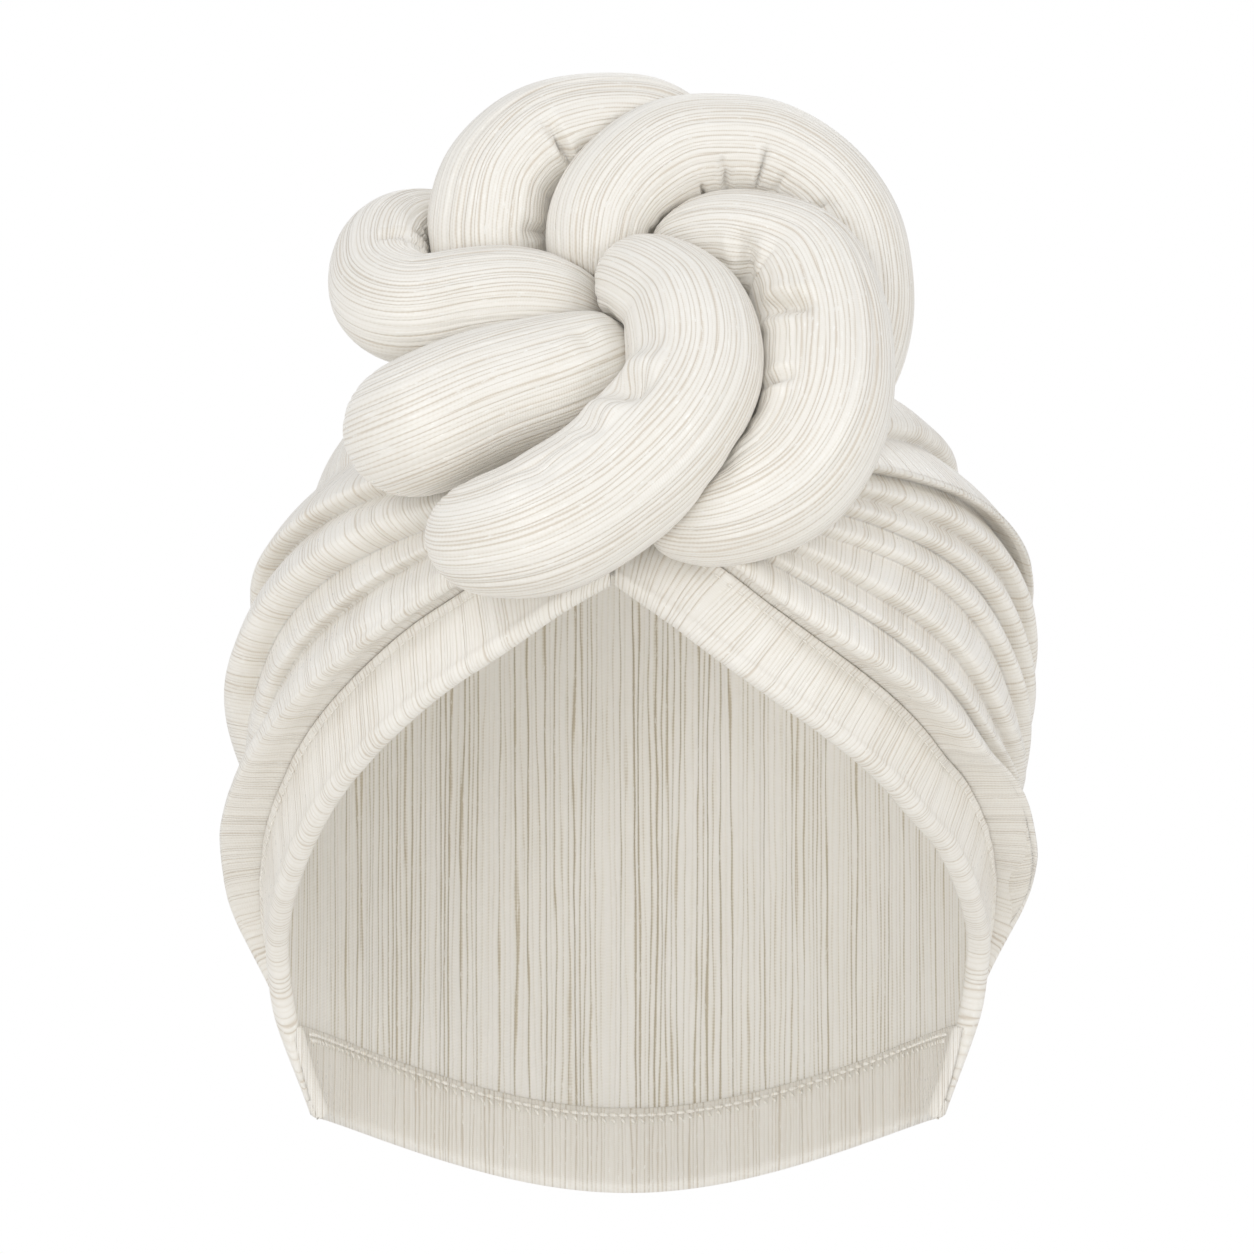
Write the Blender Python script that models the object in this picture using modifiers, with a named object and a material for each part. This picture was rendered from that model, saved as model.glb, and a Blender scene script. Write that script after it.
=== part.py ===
"""Knot turban hat: a ribbed cloth cap with pleated side wraps and a big stuffed knot in front.

Sizes are in millimetres and MM turns them to metres. +Z is up and the face looks along -Y.
The origin is where the crown of a head touches the inside of the cap.
"""
import math

import bmesh
import bpy
import numpy as np
from mathutils import Vector
from mathutils.bvhtree import BVHTree

MM = 0.001

# Room for the head: the inner face of the cap
HEAD_HALF_WIDTH = 87.0
HEAD_HALF_LENGTH = 100.0
CROWN_RISE = 105.0
LOWER_REACH = 150.0
CROWN_FULLNESS = 2.5
LOWER_FULLNESS = 2.2
WIDEST_Z = -CROWN_RISE

# Cloth
CLOTH = 2.0
GAP = 0.3
CAP_BACK_COLUMNS = 16
CAP_ROWS = 9

# Lower edge: corners at the sides and the lowest point at the nape
CORNER_BEARING = 93.0
CORNER_Z = -185.0
NAPE_Z = -206.0
HEM_ANGLE = 8.6
HEM_SEAT = 1.5
HEM_END_TURN = 89.0

# Face edge: turn from the peak of the arch in degrees, height on the left and on the right
PEAK_BEARING = -2.5
FACE_EDGE = (
    # turn, left_z, right_z
    (0.0, -54.5, -54.5),
    (9.0, -62.0, -64.0),
    (18.5, -71.5, -75.0),
    (28.0, -80.0, -85.0),
    (37.0, -89.5, -94.0),
    (45.5, -99.0, -103.0),
    (53.0, -108.0, -112.0),
    (60.0, -117.5, -118.5),
    (67.0, -127.0, -127.0),
    (74.0, -136.0, -135.5),
    (81.5, -147.0, -145.0),
    (88.0, -164.0, -162.0),
    (CORNER_BEARING, CORNER_Z, CORNER_Z),
)

# Edge band: width from the rolled edge to the stitched seam, and its stations along the edge
BAND_WIDTH = 19.0
BAND_STATIONS = 20
BAND_CLEAR_OF_PEAK = 0.4
BAND_MITRE = 0.16

# Section of the edge band: distance in from the face edge and height over the cap's inner face
BAND_SECTION = (
    # inward, height
    (2.7, -0.2),
    (1.0, 0.3),
    (0.1, 1.8),
    (0.1, 3.6),
    (1.0, 5.0),
    (2.8, 5.6),
    (9.5, 5.3),
    (BAND_WIDTH, 4.5),
    (BAND_WIDTH, 2.4),
    (9.5, 2.3),
    (3.0, 2.3),
)
CAP_EDGE_BACK = 3.3

# Wraps: where the fan of folds starts under the knot, and how it lies on the cap
WRAP_COLUMNS = BAND_STATIONS
FAN_START_LOW = 39.0
FAN_START_HIGH = 78.0
FAN_OFF_CENTRE = 0.013
WRAP_OVER_HEM = 4.0
WRAP_SEAT = CLOTH + 2 * GAP + CLOTH
FOLD_ROUNDNESS = 1.7
FOLD_AT_KNOT = 0.35
FOLD_RISES_BY = 0.35
FOLD_FLATTENS_OVER = 0.22
WRAP_FLAT_FROM = 0.85

# Stretch of a wrap, by share along it, over which the valleys rise off the cap and come back
STAND_OFF_RISE = (0.05, 0.45)
STAND_OFF_FALL = (0.60, 0.95)

# The middle folds start lower at the knot and climb as they run to the side
FOLD_SWEEP = 0.11
SWEEP_ALONG = (0.10, 0.50)
SWEEP_LOW = (0.0, 0.40)
SWEEP_HIGH = (0.60, 1.0)

# End of the wraps: share across the fan, bearing, elevation (None is the lower edge)
WRAP_END = (
    # across, bearing, elevation
    (0.00, 106.0, None),
    (0.18, 122.0, None),
    (0.36, 140.0, None),
    (0.55, 146.0, -14.0),
    (0.75, 155.0, 14.0),
    (1.00, 179.0, 40.0),
)

# Folds: lower valley and crest as shares across the fan, height of the crest over the valley,
# how far the valley stands off the cap, and the share along the fan from which the fold flattens
LEFT_FOLDS = (
    # valley, crest, height, stand_off, flat_from
    (0.00, 0.055, 10.0, 0.5, 0.72),
    (0.13, 0.155, 3.5, 4.0, 0.42),
    (0.20, 0.265, 6.0, 4.0, 0.50),
    (0.33, 0.375, 5.5, 3.0, 0.40),
    (0.42, 0.52, 3.0, 1.0, 0.45),
    (0.66, 0.75, 3.0, 2.0, 0.60),
    (0.84, 0.92, 2.0, 1.5, 0.60),
    (1.00, 1.10, 0.0, 0.5, 1.00),
)
RIGHT_FOLDS = (
    # valley, crest, height, stand_off, flat_from
    (0.00, 0.05, 9.0, 1.0, 0.76),
    (0.085, 0.115, 3.0, 6.0, 0.66),
    (0.145, 0.175, 3.2, 5.5, 0.56),
    (0.21, 0.24, 3.2, 6.0, 0.52),
    (0.27, 0.30, 3.5, 6.5, 0.48),
    (0.325, 0.35, 3.5, 8.0, 0.46),
    (0.375, 0.40, 5.5, 9.0, 0.44),
    (0.44, 0.49, 4.5, 5.5, 0.40),
    (0.60, 0.69, 3.0, 3.0, 0.60),
    (0.80, 0.90, 2.0, 1.5, 0.60),
    (1.00, 1.10, 0.0, 0.5, 1.00),
)

# Knot: its plane leans back as it rises, so it lies on the slope of the forehead
KNOT_Z = 6.0
KNOT_Y = -77.0
KNOT_LEAN = math.radians(32.0)
KNOT_SEAT = 1.8
ROLL_SIDES = 12
ROLL_STEP = 6.5
LINE_STEP = 1.6
LEAST_REACH = 1.0
BACK_OFF = 0.25
PRESS_GAP = 1.5 * GAP
PRESS_HALVINGS = 14

# Each roll: middle line across and up as seen from the front, distance forward of the knot's
# plane, and radius
FRONT_ROLL = (
    # x, z, forward, radius
    (2.0, 14.0, -10.0, 8.0),
    (4.2, 18.5, 5.0, 13.3),
    (14.0, 11.0, 14.0, 16.0),
    (16.0, -3.5, 16.0, 17.0),
    (9.0, -17.0, 16.0, 17.8),
    (-6.0, -31.0, 14.0, 18.0),
    (-20.5, -39.0, 12.0, 17.3),
    (-34.0, -42.0, 5.0, 15.0),
    (-38.5, -39.5, -7.0, 10.5),
)
LOWER_LEFT_ROLL = (
    (1.0, 3.0, -9.0, 8.0),
    (-5.0, 1.0, 0.0, 12.5),
    (-17.0, -3.5, 4.0, 15.8),
    (-36.0, -9.5, 6.0, 17.3),
    (-49.5, -14.8, 3.0, 17.5),
    (-53.8, -16.0, -9.0, 15.5),
    (-51.0, -14.0, -20.0, 10.0),
)
UPPER_LEFT_ROLL = (
    (-1.5, 9.5, -14.0, 5.5),
    (-7.0, 12.3, -7.0, 8.0),
    (-15.0, 14.8, -4.0, 11.0),
    (-26.0, 16.0, -3.0, 13.0),
    (-38.5, 15.0, -5.0, 13.7),
    (-52.0, 13.4, -7.0, 14.0),
    (-59.5, 18.0, -14.0, 13.6),
    (-59.0, 27.5, -23.0, 12.5),
    (-52.0, 32.5, -31.0, 11.5),
    (-41.0, 30.5, -37.0, 11.0),
    (-29.0, 18.0, -41.0, 10.5),
    (-23.0, 6.0, -42.0, 8.0),
)
TOP_LEFT_ROLL = (
    (-35.5, 14.0, -29.0, 11.0),
    (-34.2, 24.0, -21.0, 15.3),
    (-34.2, 34.5, -14.0, 15.3),
    (-31.2, 46.0, -9.0, 15.0),
    (-21.5, 55.0, -8.0, 14.5),
    (-7.0, 59.0, -9.0, 14.2),
    (7.0, 57.0, -14.0, 13.5),
    (16.5, 46.0, -26.0, 12.5),
    (17.0, 28.0, -35.0, 11.5),
    (14.0, 10.0, -39.0, 8.5),
)
ARCH_ROLL = (
    (-7.0, 18.0, -16.0, 8.0),
    (-7.5, 26.5, -7.0, 12.0),
    (-5.5, 37.0, -2.0, 14.0),
    (1.0, 45.5, 0.0, 14.4),
    (11.0, 51.5, 0.0, 14.5),
    (22.5, 52.5, -2.0, 14.5),
    (34.5, 50.5, -5.0, 14.5),
    (46.0, 43.5, -9.0, 14.5),
    (53.0, 33.5, -13.0, 14.5),
    (55.5, 22.0, -17.0, 14.5),
    (55.5, 10.0, -21.0, 14.3),
    (53.0, -2.0, -24.0, 13.0),
    (48.0, -12.0, -26.0, 9.0),
)
RIGHT_ROLL = (
    (9.5, 24.0, -12.0, 8.0),
    (16.5, 29.5, -2.0, 11.0),
    (29.5, 30.0, 4.0, 13.2),
    (41.5, 24.0, 4.5, 15.2),
    (47.0, 10.5, 4.0, 17.0),
    (47.5, -3.0, 3.0, 17.8),
    (45.0, -16.0, 2.5, 17.6),
    (38.0, -27.0, 1.0, 16.8),
    (27.0, -33.0, -2.0, 15.8),
    (15.0, -35.5, -4.0, 13.8),
    (6.0, -34.0, -8.0, 9.0),
)
ROLLS = {
    "knot_front_roll": FRONT_ROLL,
    "knot_lower_left_roll": LOWER_LEFT_ROLL,
    "knot_upper_left_roll": UPPER_LEFT_ROLL,
    "knot_top_left_roll": TOP_LEFT_ROLL,
    "knot_arch_roll": ARCH_ROLL,
    "knot_right_roll": RIGHT_ROLL,
}


def smooth_through(table, where):
    """Values of a table's later columns at a place in its first one, on a smooth curve."""
    table = np.asarray(table, float)
    keys = table[:, 0]
    i = int(np.clip(np.searchsorted(keys, where) - 1, 0, len(keys) - 2))
    span = keys[i + 1] - keys[i]
    t = (where - keys[i]) / span
    rows = table[:, 1:]

    def slope(k):
        before = max(k - 1, 0)
        after = min(k + 1, len(keys) - 1)
        return (rows[after] - rows[before]) / (keys[after] - keys[before])

    a = rows[i]
    b = rows[i + 1]
    rise_a = slope(i) * span
    rise_b = slope(i + 1) * span
    return (a * (2 * t**3 - 3 * t**2 + 1) + rise_a * (t**3 - 2 * t**2 + t)
            + b * (3 * t**2 - 2 * t**3) + rise_b * (t**3 - t**2))


def head_point(direction):
    """Point of the cap's inner face in a direction from the middle of its widest level."""
    x, y, z = direction
    level = math.hypot(x, y)
    fullness = CROWN_FULLNESS if z >= 0 else LOWER_FULLNESS
    reach = CROWN_RISE if z >= 0 else LOWER_REACH
    stretch = (level**fullness + abs(z)**fullness) ** (-1 / fullness)
    return Vector((HEAD_HALF_WIDTH * stretch * x, HEAD_HALF_LENGTH * stretch * y,
                   WIDEST_Z + reach * stretch * z))


def direction_of(point):
    """Direction in which the cap's inner face passes nearest below a point."""
    rise = point.z - WIDEST_Z
    reach = CROWN_RISE if rise >= 0 else LOWER_REACH
    return Vector((point.x / HEAD_HALF_WIDTH, point.y / HEAD_HALF_LENGTH, rise / reach)).normalized()


def head_normal(point):
    """Outward normal of the cap's inner face at one of its points."""
    fullness = CROWN_FULLNESS if point.z >= WIDEST_Z else LOWER_FULLNESS
    reach = CROWN_RISE if point.z >= WIDEST_Z else LOWER_REACH
    across = point.x / HEAD_HALF_WIDTH
    along = point.y / HEAD_HALF_LENGTH
    rise = (point.z - WIDEST_Z) / reach
    level = math.hypot(across, along)
    flat = level ** (fullness - 2)
    steep = abs(rise) ** (fullness - 2) if rise else 0.0
    return Vector((flat * across / HEAD_HALF_WIDTH, flat * along / HEAD_HALF_LENGTH,
                   steep * rise / reach)).normalized()


def cloth_point(direction, height):
    """Point at a height over the cap's inner face."""
    base = head_point(direction)
    return base + head_normal(base) * height


def from_bearing(bearing, elevation):
    """Direction from a bearing off straight ahead, + to the right, and an elevation, in degrees."""
    turn = math.radians(bearing)
    lift = math.radians(elevation)
    return Vector((math.sin(turn) * math.cos(lift), -math.cos(turn) * math.cos(lift), math.sin(lift)))


def elevation_at(z):
    """Elevation at which the cap's inner face has a height, in degrees."""
    fullness = CROWN_FULLNESS if z >= WIDEST_Z else LOWER_FULLNESS
    reach = CROWN_RISE if z >= WIDEST_Z else LOWER_REACH
    rise = (z - WIDEST_Z) / reach
    level = (1 - abs(rise)**fullness) ** (1 / fullness)
    return math.degrees(math.atan2(rise, level))


def hem_z(bearing):
    """Height of the lower edge at a bearing behind the corners."""
    share = (math.sin(math.radians(bearing)) / math.sin(math.radians(CORNER_BEARING)))**2
    return NAPE_Z + (CORNER_Z - NAPE_Z) * share


def face_edge(side, turn):
    """Direction of a point of the face edge, by its turn from the peak of the arch."""
    z = float(smooth_through(FACE_EDGE, turn)[0 if side < 0 else 1])
    to_corner = CORNER_BEARING - side * PEAK_BEARING
    bearing = PEAK_BEARING + side * to_corner * turn / CORNER_BEARING
    return from_bearing(bearing, elevation_at(z))


def in_from_edge(side, share, inward):
    """Direction at a distance in from the face edge, along the cloth.

    It is square to the edge, but turns upright at the peak, where the two bands meet.
    """
    turn = BAND_CLEAR_OF_PEAK + (CORNER_BEARING - BAND_CLEAR_OF_PEAK) * share
    step = 0.3
    here = head_point(face_edge(side, turn))
    ahead = head_point(face_edge(side, min(turn + step, CORNER_BEARING)))
    behind = head_point(face_edge(side, turn - step))
    normal = head_normal(here)
    inside = normal.cross((ahead - behind).normalized())
    if inside.z < 0:
        inside.negate()
    upright = normal.cross(Vector((1, 0, 0)))
    if upright.z < 0:
        upright.negate()
    inside = upright.lerp(inside, ease(0.0, BAND_MITRE, share)).normalized()
    return direction_of(here + inside * inward)


def seam_direction(side, share):
    return in_from_edge(side, share, BAND_WIDTH + GAP)


def wrap_start(side, across):
    elevation = FAN_START_LOW + (FAN_START_HIGH - FAN_START_LOW) * across
    start = from_bearing(0.0, elevation)
    start.x = side * FAN_OFF_CENTRE
    return start.normalized()


def wrap_end(side, across):
    """Direction where a fold ends: along the lower edge, then up the edge of the back panel."""
    corner = seam_direction(side, 1.0)
    rows = []
    for share, bearing, elevation in WRAP_END:
        if elevation is None:
            elevation = elevation_at(hem_z(bearing) + WRAP_OVER_HEM)
        rows.append((share, bearing, elevation))
    bearing, elevation = smooth_through(rows, across)
    end = from_bearing(side * bearing, elevation)
    near_corner = max(0.0, 1 - across / WRAP_END[1][0])
    return end.lerp(corner, near_corner).normalized()


def wrap_direction(side, along, across):
    """Direction on a wrap: along a fold from the knot, across the fan from the face seam up."""
    def fold_line(share):
        return wrap_start(side, share).slerp(wrap_end(side, share), along)

    drift = seam_direction(side, along) - fold_line(0.0)
    return (fold_line(across) + drift * (1 - across)**2).normalized()


def ease(low, high, value):
    t = min(1.0, max(0.0, (value - low) / (high - low)))
    return t * t * (3 - 2 * t)


def fold_height(folds, along, across):
    """Height of the fold profile: round crests with a sharp valley between them."""
    for (valley, crest, height, _, flat_from), following in zip(folds, folds[1:]):
        next_valley = following[0]
        if valley <= across <= next_valley:
            reach = crest - valley if across < crest else next_valley - crest
            shape = 1 - abs((across - crest) / reach)**FOLD_ROUNDNESS
            return height * shape * (1 - ease(flat_from, flat_from + FOLD_FLATTENS_OVER, along))
    return 0.0


def wrap_height(folds, along, across):
    """Height of a wrap's outer face over the cap's inner face."""
    stand_off = smooth_through([(fold[0], fold[3]) for fold in folds], across)[0]
    lift = ease(*STAND_OFF_RISE, along) * (1 - ease(*STAND_OFF_FALL, along))
    rise = FOLD_AT_KNOT + (1 - FOLD_AT_KNOT) * ease(0.0, FOLD_RISES_BY, along)
    fade = rise * (1 - ease(WRAP_FLAT_FROM, 1.0, along))
    return WRAP_SEAT + float(stand_off) * lift + fold_height(folds, along, across) * fade


def swept(along, across):
    """Share across the fan at which a fold runs, lower near the knot than at the side."""
    drop = FOLD_SWEEP * (1 - ease(*SWEEP_ALONG, along))
    return across - drop * ease(*SWEEP_LOW, across) * (1 - ease(*SWEEP_HIGH, across))


def shaped_grid(name, columns, rows, place):
    """Open mesh from a grid whose corners are put in place by their shares along and across."""
    bm = bmesh.new()
    bmesh.ops.create_grid(bm, x_segments=columns, y_segments=rows, size=0.5)
    for vert in bm.verts:
        vert.co = place(vert.co.x + 0.5, vert.co.y + 0.5) * MM
    bmesh.ops.remove_doubles(bm, verts=bm.verts, dist=0.00005)
    mesh = bpy.data.meshes.new(name)
    bm.to_mesh(mesh)
    bm.free()
    return mesh


def face_outward(mesh):
    """Turns an open sheet's faces away from the middle of the head."""
    bm = bmesh.new()
    bm.from_mesh(mesh)
    bmesh.ops.recalc_face_normals(bm, faces=bm.faces)
    bm.faces.ensure_lookup_table()
    middle = Vector((0, 0, WIDEST_Z * MM))
    outward = sum(face.normal.dot(face.calc_center_median() - middle) for face in bm.faces)
    if outward < 0:
        bmesh.ops.reverse_faces(bm, faces=bm.faces)
    bm.to_mesh(mesh)
    bm.free()


def closed_up(mesh):
    """Fills the open ends of a tube and turns its faces out."""
    bm = bmesh.new()
    bm.from_mesh(mesh)
    bmesh.ops.holes_fill(bm, edges=bm.edges, sides=0)
    bmesh.ops.recalc_face_normals(bm, faces=bm.faces)
    bm.to_mesh(mesh)
    bm.free()


def cloth(name, colour, roughness):
    material = bpy.data.materials.new(name)
    material.use_nodes = True
    shader = material.node_tree.nodes["Principled BSDF"]
    shader.inputs["Base Color"].default_value = (*colour, 1.0)
    shader.inputs["Roughness"].default_value = roughness
    shader.inputs["Metallic"].default_value = 0.0
    return material


def add_piece(name, mesh, material, collection):
    piece = bpy.data.objects.new(name, mesh)
    mesh.materials.append(material)
    mesh.shade_smooth()
    collection.objects.link(piece)
    return piece


def thicken(piece, offset):
    solidify = piece.modifiers.new("Cloth", "SOLIDIFY")
    solidify.thickness = CLOTH * MM
    solidify.offset = offset


def cap_edge():
    """Bearing and elevation of each column of the cap where it ends, round from the nape."""
    columns = []
    corner = cap_face_column(1, 1.0)
    for i in range(CAP_BACK_COLUMNS + 1):
        bearing = corner[0] + (360 - 2 * corner[0]) * i / CAP_BACK_COLUMNS
        columns.append((bearing, elevation_at(hem_z(bearing))))
    left = [cap_face_column(-1, 1 - i / BAND_STATIONS) for i in range(1, BAND_STATIONS + 1)]
    right = [cap_face_column(1, i / BAND_STATIONS) for i in range(BAND_STATIONS)]
    return columns + [(bearing + 360, elevation) for bearing, elevation in left + right]


def cap_face_column(side, share):
    edge = in_from_edge(side, share, CAP_EDGE_BACK)
    return math.degrees(math.atan2(edge.x, -edge.y)), math.degrees(math.asin(edge.z))


def crown_cap(material, collection):
    columns = cap_edge()

    def place(along, across):
        bearing, elevation = columns[round(along * len(columns)) % len(columns)]
        row = round(across * CAP_ROWS)
        if row < CAP_ROWS:
            elevation = 90 - (90 - elevation - HEM_ANGLE) * row / (CAP_ROWS - 1)
        return head_point(from_bearing(bearing, elevation))

    mesh = shaped_grid("crown_cap", len(columns), CAP_ROWS, place)
    face_outward(mesh)
    thicken(add_piece("crown_cap", mesh, material, collection), 1.0)


def fold_rows(folds):
    """Shares across the fan where a wrap's rows lie, so that each crest and valley has one."""
    rows = []
    for (valley, crest, *_), (next_valley, *_) in zip(folds, folds[1:]):
        rows += [valley, (valley + crest) / 2, crest, (crest + next_valley) / 2]
    return rows + [folds[-1][0]]


def wrap(side, name, folds, material, collection):
    rows = fold_rows(folds)

    def place(along, across):
        share = rows[round(across * (len(rows) - 1))]
        direction = wrap_direction(side, along, swept(along, share))
        return cloth_point(direction, wrap_height(folds, along, share))

    mesh = shaped_grid(name, WRAP_COLUMNS, len(rows) - 1, place)
    face_outward(mesh)
    thicken(add_piece(name, mesh, material, collection), -1.0)


def edge_band(side, name, material, collection):
    def place(along, around):
        slot = round(around * len(BAND_SECTION)) % len(BAND_SECTION)
        inward, height = BAND_SECTION[slot]
        return cloth_point(in_from_edge(side, along, inward), height)

    mesh = shaped_grid(name, BAND_STATIONS, len(BAND_SECTION), place)
    closed_up(mesh)
    add_piece(name, mesh, material, collection)


def nape_hem(material, collection):
    """Strip turned up inside the lower edge; its ends slope with the face edge."""
    ends = []
    for side in (1, -1):
        top = in_from_edge(side, HEM_END_TURN / CORNER_BEARING, CAP_EDGE_BACK + GAP)
        ends.append((math.degrees(math.atan2(top.x, -top.y)), math.degrees(math.asin(top.z))))
    columns = cap_edge()[:CAP_BACK_COLUMNS + 1]
    lower = [columns[0]] + columns + [columns[-1]]
    upper = [ends[0]] + [(bearing, low + HEM_ANGLE) for bearing, low in columns] + [ends[1]]

    def place(along, across):
        row = upper if across > 0.5 else lower
        bearing, elevation = row[round(along * (len(lower) - 1))]
        return cloth_point(from_bearing(bearing, elevation), -HEM_SEAT)

    mesh = shaped_grid("nape_hem", len(lower) - 1, 1, place)
    face_outward(mesh)
    thicken(add_piece("nape_hem", mesh, material, collection), -1.0)


def roll_line(table):
    """Points close together along a roll's middle line, each with its radius."""
    rows = []
    run = 0.0
    last = None
    for x, z, forward, radius in table:
        y = KNOT_Y + (z - KNOT_Z) * math.tan(KNOT_LEAN) - forward
        point = Vector((x, y, z))
        if last is not None:
            run += (point - last).length
        last = point
        rows.append((run, x, y, z, radius))
    steps = round(run / LINE_STEP)
    return np.array([smooth_through(rows, run * i / steps) for i in range(steps + 1)])


def roll_mesh(name, line):
    """Stuffed roll as a beveled curve with round ends, made a mesh."""
    curve = bpy.data.curves.new(name, "CURVE")
    curve.dimensions = "3D"
    curve.bevel_depth = MM
    curve.bevel_resolution = (ROLL_SIDES - 4) // 2
    curve.use_fill_caps = True
    picks = line[::round(ROLL_STEP / LINE_STEP)]
    spline = curve.splines.new("POLY")
    spline.points.add(len(picks) - 1)
    for point, (x, y, z, radius) in zip(spline.points, picks):
        point.co = (x * MM, y * MM, z * MM, 1.0)
        point.radius = radius
    shell = bpy.data.objects.new(name, curve)
    bpy.context.scene.collection.objects.link(shell)
    bpy.context.view_layer.update()
    mesh = bpy.data.meshes.new_from_object(shell.evaluated_get(bpy.context.evaluated_depsgraph_get()))
    bpy.data.objects.remove(shell)
    bm = bmesh.new()
    bm.from_mesh(mesh)
    bmesh.ops.remove_doubles(bm, verts=bm.verts, dist=0.00002)
    bmesh.ops.recalc_face_normals(bm, faces=bm.faces)
    bm.to_mesh(mesh)
    bm.free()
    return mesh


def press(mesh, own, others, body):
    """Flattens a roll where its neighbours and the hat press on it."""
    for vert in mesh.vertices:
        spot = np.array(vert.co) / MM
        gaps = np.linalg.norm(own[:, :3] - spot, axis=1)
        core = own[int(np.argmin(gaps))]
        ray = spot - core[:3]
        reach = float(np.linalg.norm(ray))
        if reach < GAP:
            continue
        ray /= reach
        low = 0.0
        high = reach
        for _ in range(PRESS_HALVINGS):
            middle = (low + high) / 2
            trial = core[:3] + ray * middle
            room = min(float(np.min(np.linalg.norm(other[:, :3] - trial, axis=1) - other[:, 3]))
                       for other in others)
            if room - (middle - core[3]) >= PRESS_GAP:
                low = middle
            else:
                high = middle
        if high < reach:
            reach = low
        start = Vector(core[:3]) * MM
        hit = body.ray_cast(start, Vector(ray), (reach + KNOT_SEAT) * MM)
        if hit[0] is not None:
            reach = min(reach, max(LEAST_REACH, hit[3] / MM - KNOT_SEAT))
        while reach > LEAST_REACH:
            if body.find_nearest(start + Vector(ray) * reach * MM)[3] >= KNOT_SEAT * MM:
                break
            reach -= BACK_OFF
        vert.co = Vector(core[:3] + ray * reach) * MM


def knot(material, collection, body):
    lines = {name: roll_line(table) for name, table in ROLLS.items()}
    for name, line in lines.items():
        mesh = roll_mesh(name, line)
        others = [other for key, other in lines.items() if key != name]
        press(mesh, line, others, body)
        add_piece(name, mesh, material, collection)


def body_surface(collection):
    """Outer faces of the pieces made so far, to seat the knot on."""
    depsgraph = bpy.context.evaluated_depsgraph_get()
    points = []
    faces = []
    for piece in collection.objects:
        mesh = piece.evaluated_get(depsgraph).to_mesh()
        first = len(points)
        points += [vert.co.copy() for vert in mesh.vertices]
        faces += [[first + i for i in face.vertices] for face in mesh.polygons]
    return BVHTree.FromPolygons(points, faces)


def build():
    for item in list(bpy.data.objects):
        bpy.data.objects.remove(item)
    collection = bpy.data.collections.new("knot_turban_hat")
    bpy.context.scene.collection.children.link(collection)
    lining = cloth("ribbed_cloth_inside", (0.78, 0.72, 0.62), 0.75)
    outer = cloth("ribbed_satin_cloth", (0.90, 0.86, 0.79), 0.55)
    crown_cap(lining, collection)
    nape_hem(lining, collection)
    edge_band(-1, "left_edge_band", outer, collection)
    edge_band(1, "right_edge_band", outer, collection)
    wrap(-1, "left_wrap", LEFT_FOLDS, outer, collection)
    wrap(1, "right_wrap", RIGHT_FOLDS, outer, collection)
    bpy.context.view_layer.update()
    knot(outer, collection, body_surface(collection))


build()
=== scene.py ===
"""Dresses the knot turban hat: ribbed cloth, pleated wraps, stuffed knot rolls and stitching.

Sizes are in millimetres but for the stage's, and MM turns them to metres. Bearings and
elevations are in degrees. A share runs from 0 to 1.
"""
import math

import bmesh
import bpy
import numpy as np
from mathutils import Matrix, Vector
from mathutils.bvhtree import BVHTree


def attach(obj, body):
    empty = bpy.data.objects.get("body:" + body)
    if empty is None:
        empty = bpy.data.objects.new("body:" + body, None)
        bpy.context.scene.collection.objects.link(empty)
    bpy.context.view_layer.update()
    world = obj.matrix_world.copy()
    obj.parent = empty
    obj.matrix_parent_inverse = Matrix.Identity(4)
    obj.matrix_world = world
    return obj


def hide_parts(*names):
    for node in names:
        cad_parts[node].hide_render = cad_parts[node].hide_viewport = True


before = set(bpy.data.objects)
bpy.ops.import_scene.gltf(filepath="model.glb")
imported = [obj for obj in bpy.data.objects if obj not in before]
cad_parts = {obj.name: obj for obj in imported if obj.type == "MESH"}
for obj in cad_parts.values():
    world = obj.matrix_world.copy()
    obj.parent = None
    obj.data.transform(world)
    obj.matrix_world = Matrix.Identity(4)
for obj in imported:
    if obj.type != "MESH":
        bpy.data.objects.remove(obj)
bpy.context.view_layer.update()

bl_info = {
    "name": "Knot Turban Hat",
    "version": (1, 0, 0),
    "blender": (4, 5, 0),
    "location": "View3D > Sidebar > Turban",
    "description": "Builds a ribbed cloth turban hat with a stuffed knot",
    "category": "Add Mesh",
}

MM = 0.001

# Room for the head, as in the solids
HEAD_HALF = np.array([87.0, 100.0])
CROWN_RISE = 105.0
LOWER_REACH = 150.0
CROWN_FULLNESS = 2.5
LOWER_FULLNESS = 2.2
WIDEST_Z = -CROWN_RISE

# Lower edge and face edge, as in the solids
CORNER_BEARING = 93.0
CORNER_Z = -185.0
NAPE_Z = -206.0
PEAK_BEARING = -2.5
FACE_EDGE = (
    # turn, left_z, right_z
    (0.0, -54.5, -54.5),
    (9.0, -62.0, -64.0),
    (18.5, -71.5, -75.0),
    (28.0, -80.0, -85.0),
    (37.0, -89.5, -94.0),
    (45.5, -99.0, -103.0),
    (53.0, -108.0, -112.0),
    (60.0, -117.5, -118.5),
    (67.0, -127.0, -127.0),
    (74.0, -136.0, -135.5),
    (81.5, -147.0, -145.0),
    (88.0, -164.0, -162.0),
    (CORNER_BEARING, CORNER_Z, CORNER_Z),
)
BAND_WIDTH = 19.0
BAND_CLEAR_OF_PEAK = 0.4
BAND_MITRE = 0.16
CAP_EDGE_BACK = 3.3
HEM_ANGLE = 8.6
HEM_WIDTH = 20.0
HEM_END_TURN = 89.0

# Hem: its ends close round the lower corners over a few columns
HEM_END_INWARD = 1.6
HEM_END_OUTWARD = 1.2
HEM_END_HEIGHT = 1.6
HEM_END_COLUMNS = 8
HEM_END_FADE = 12.0
HEM_CLOTH = 0.7

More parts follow.
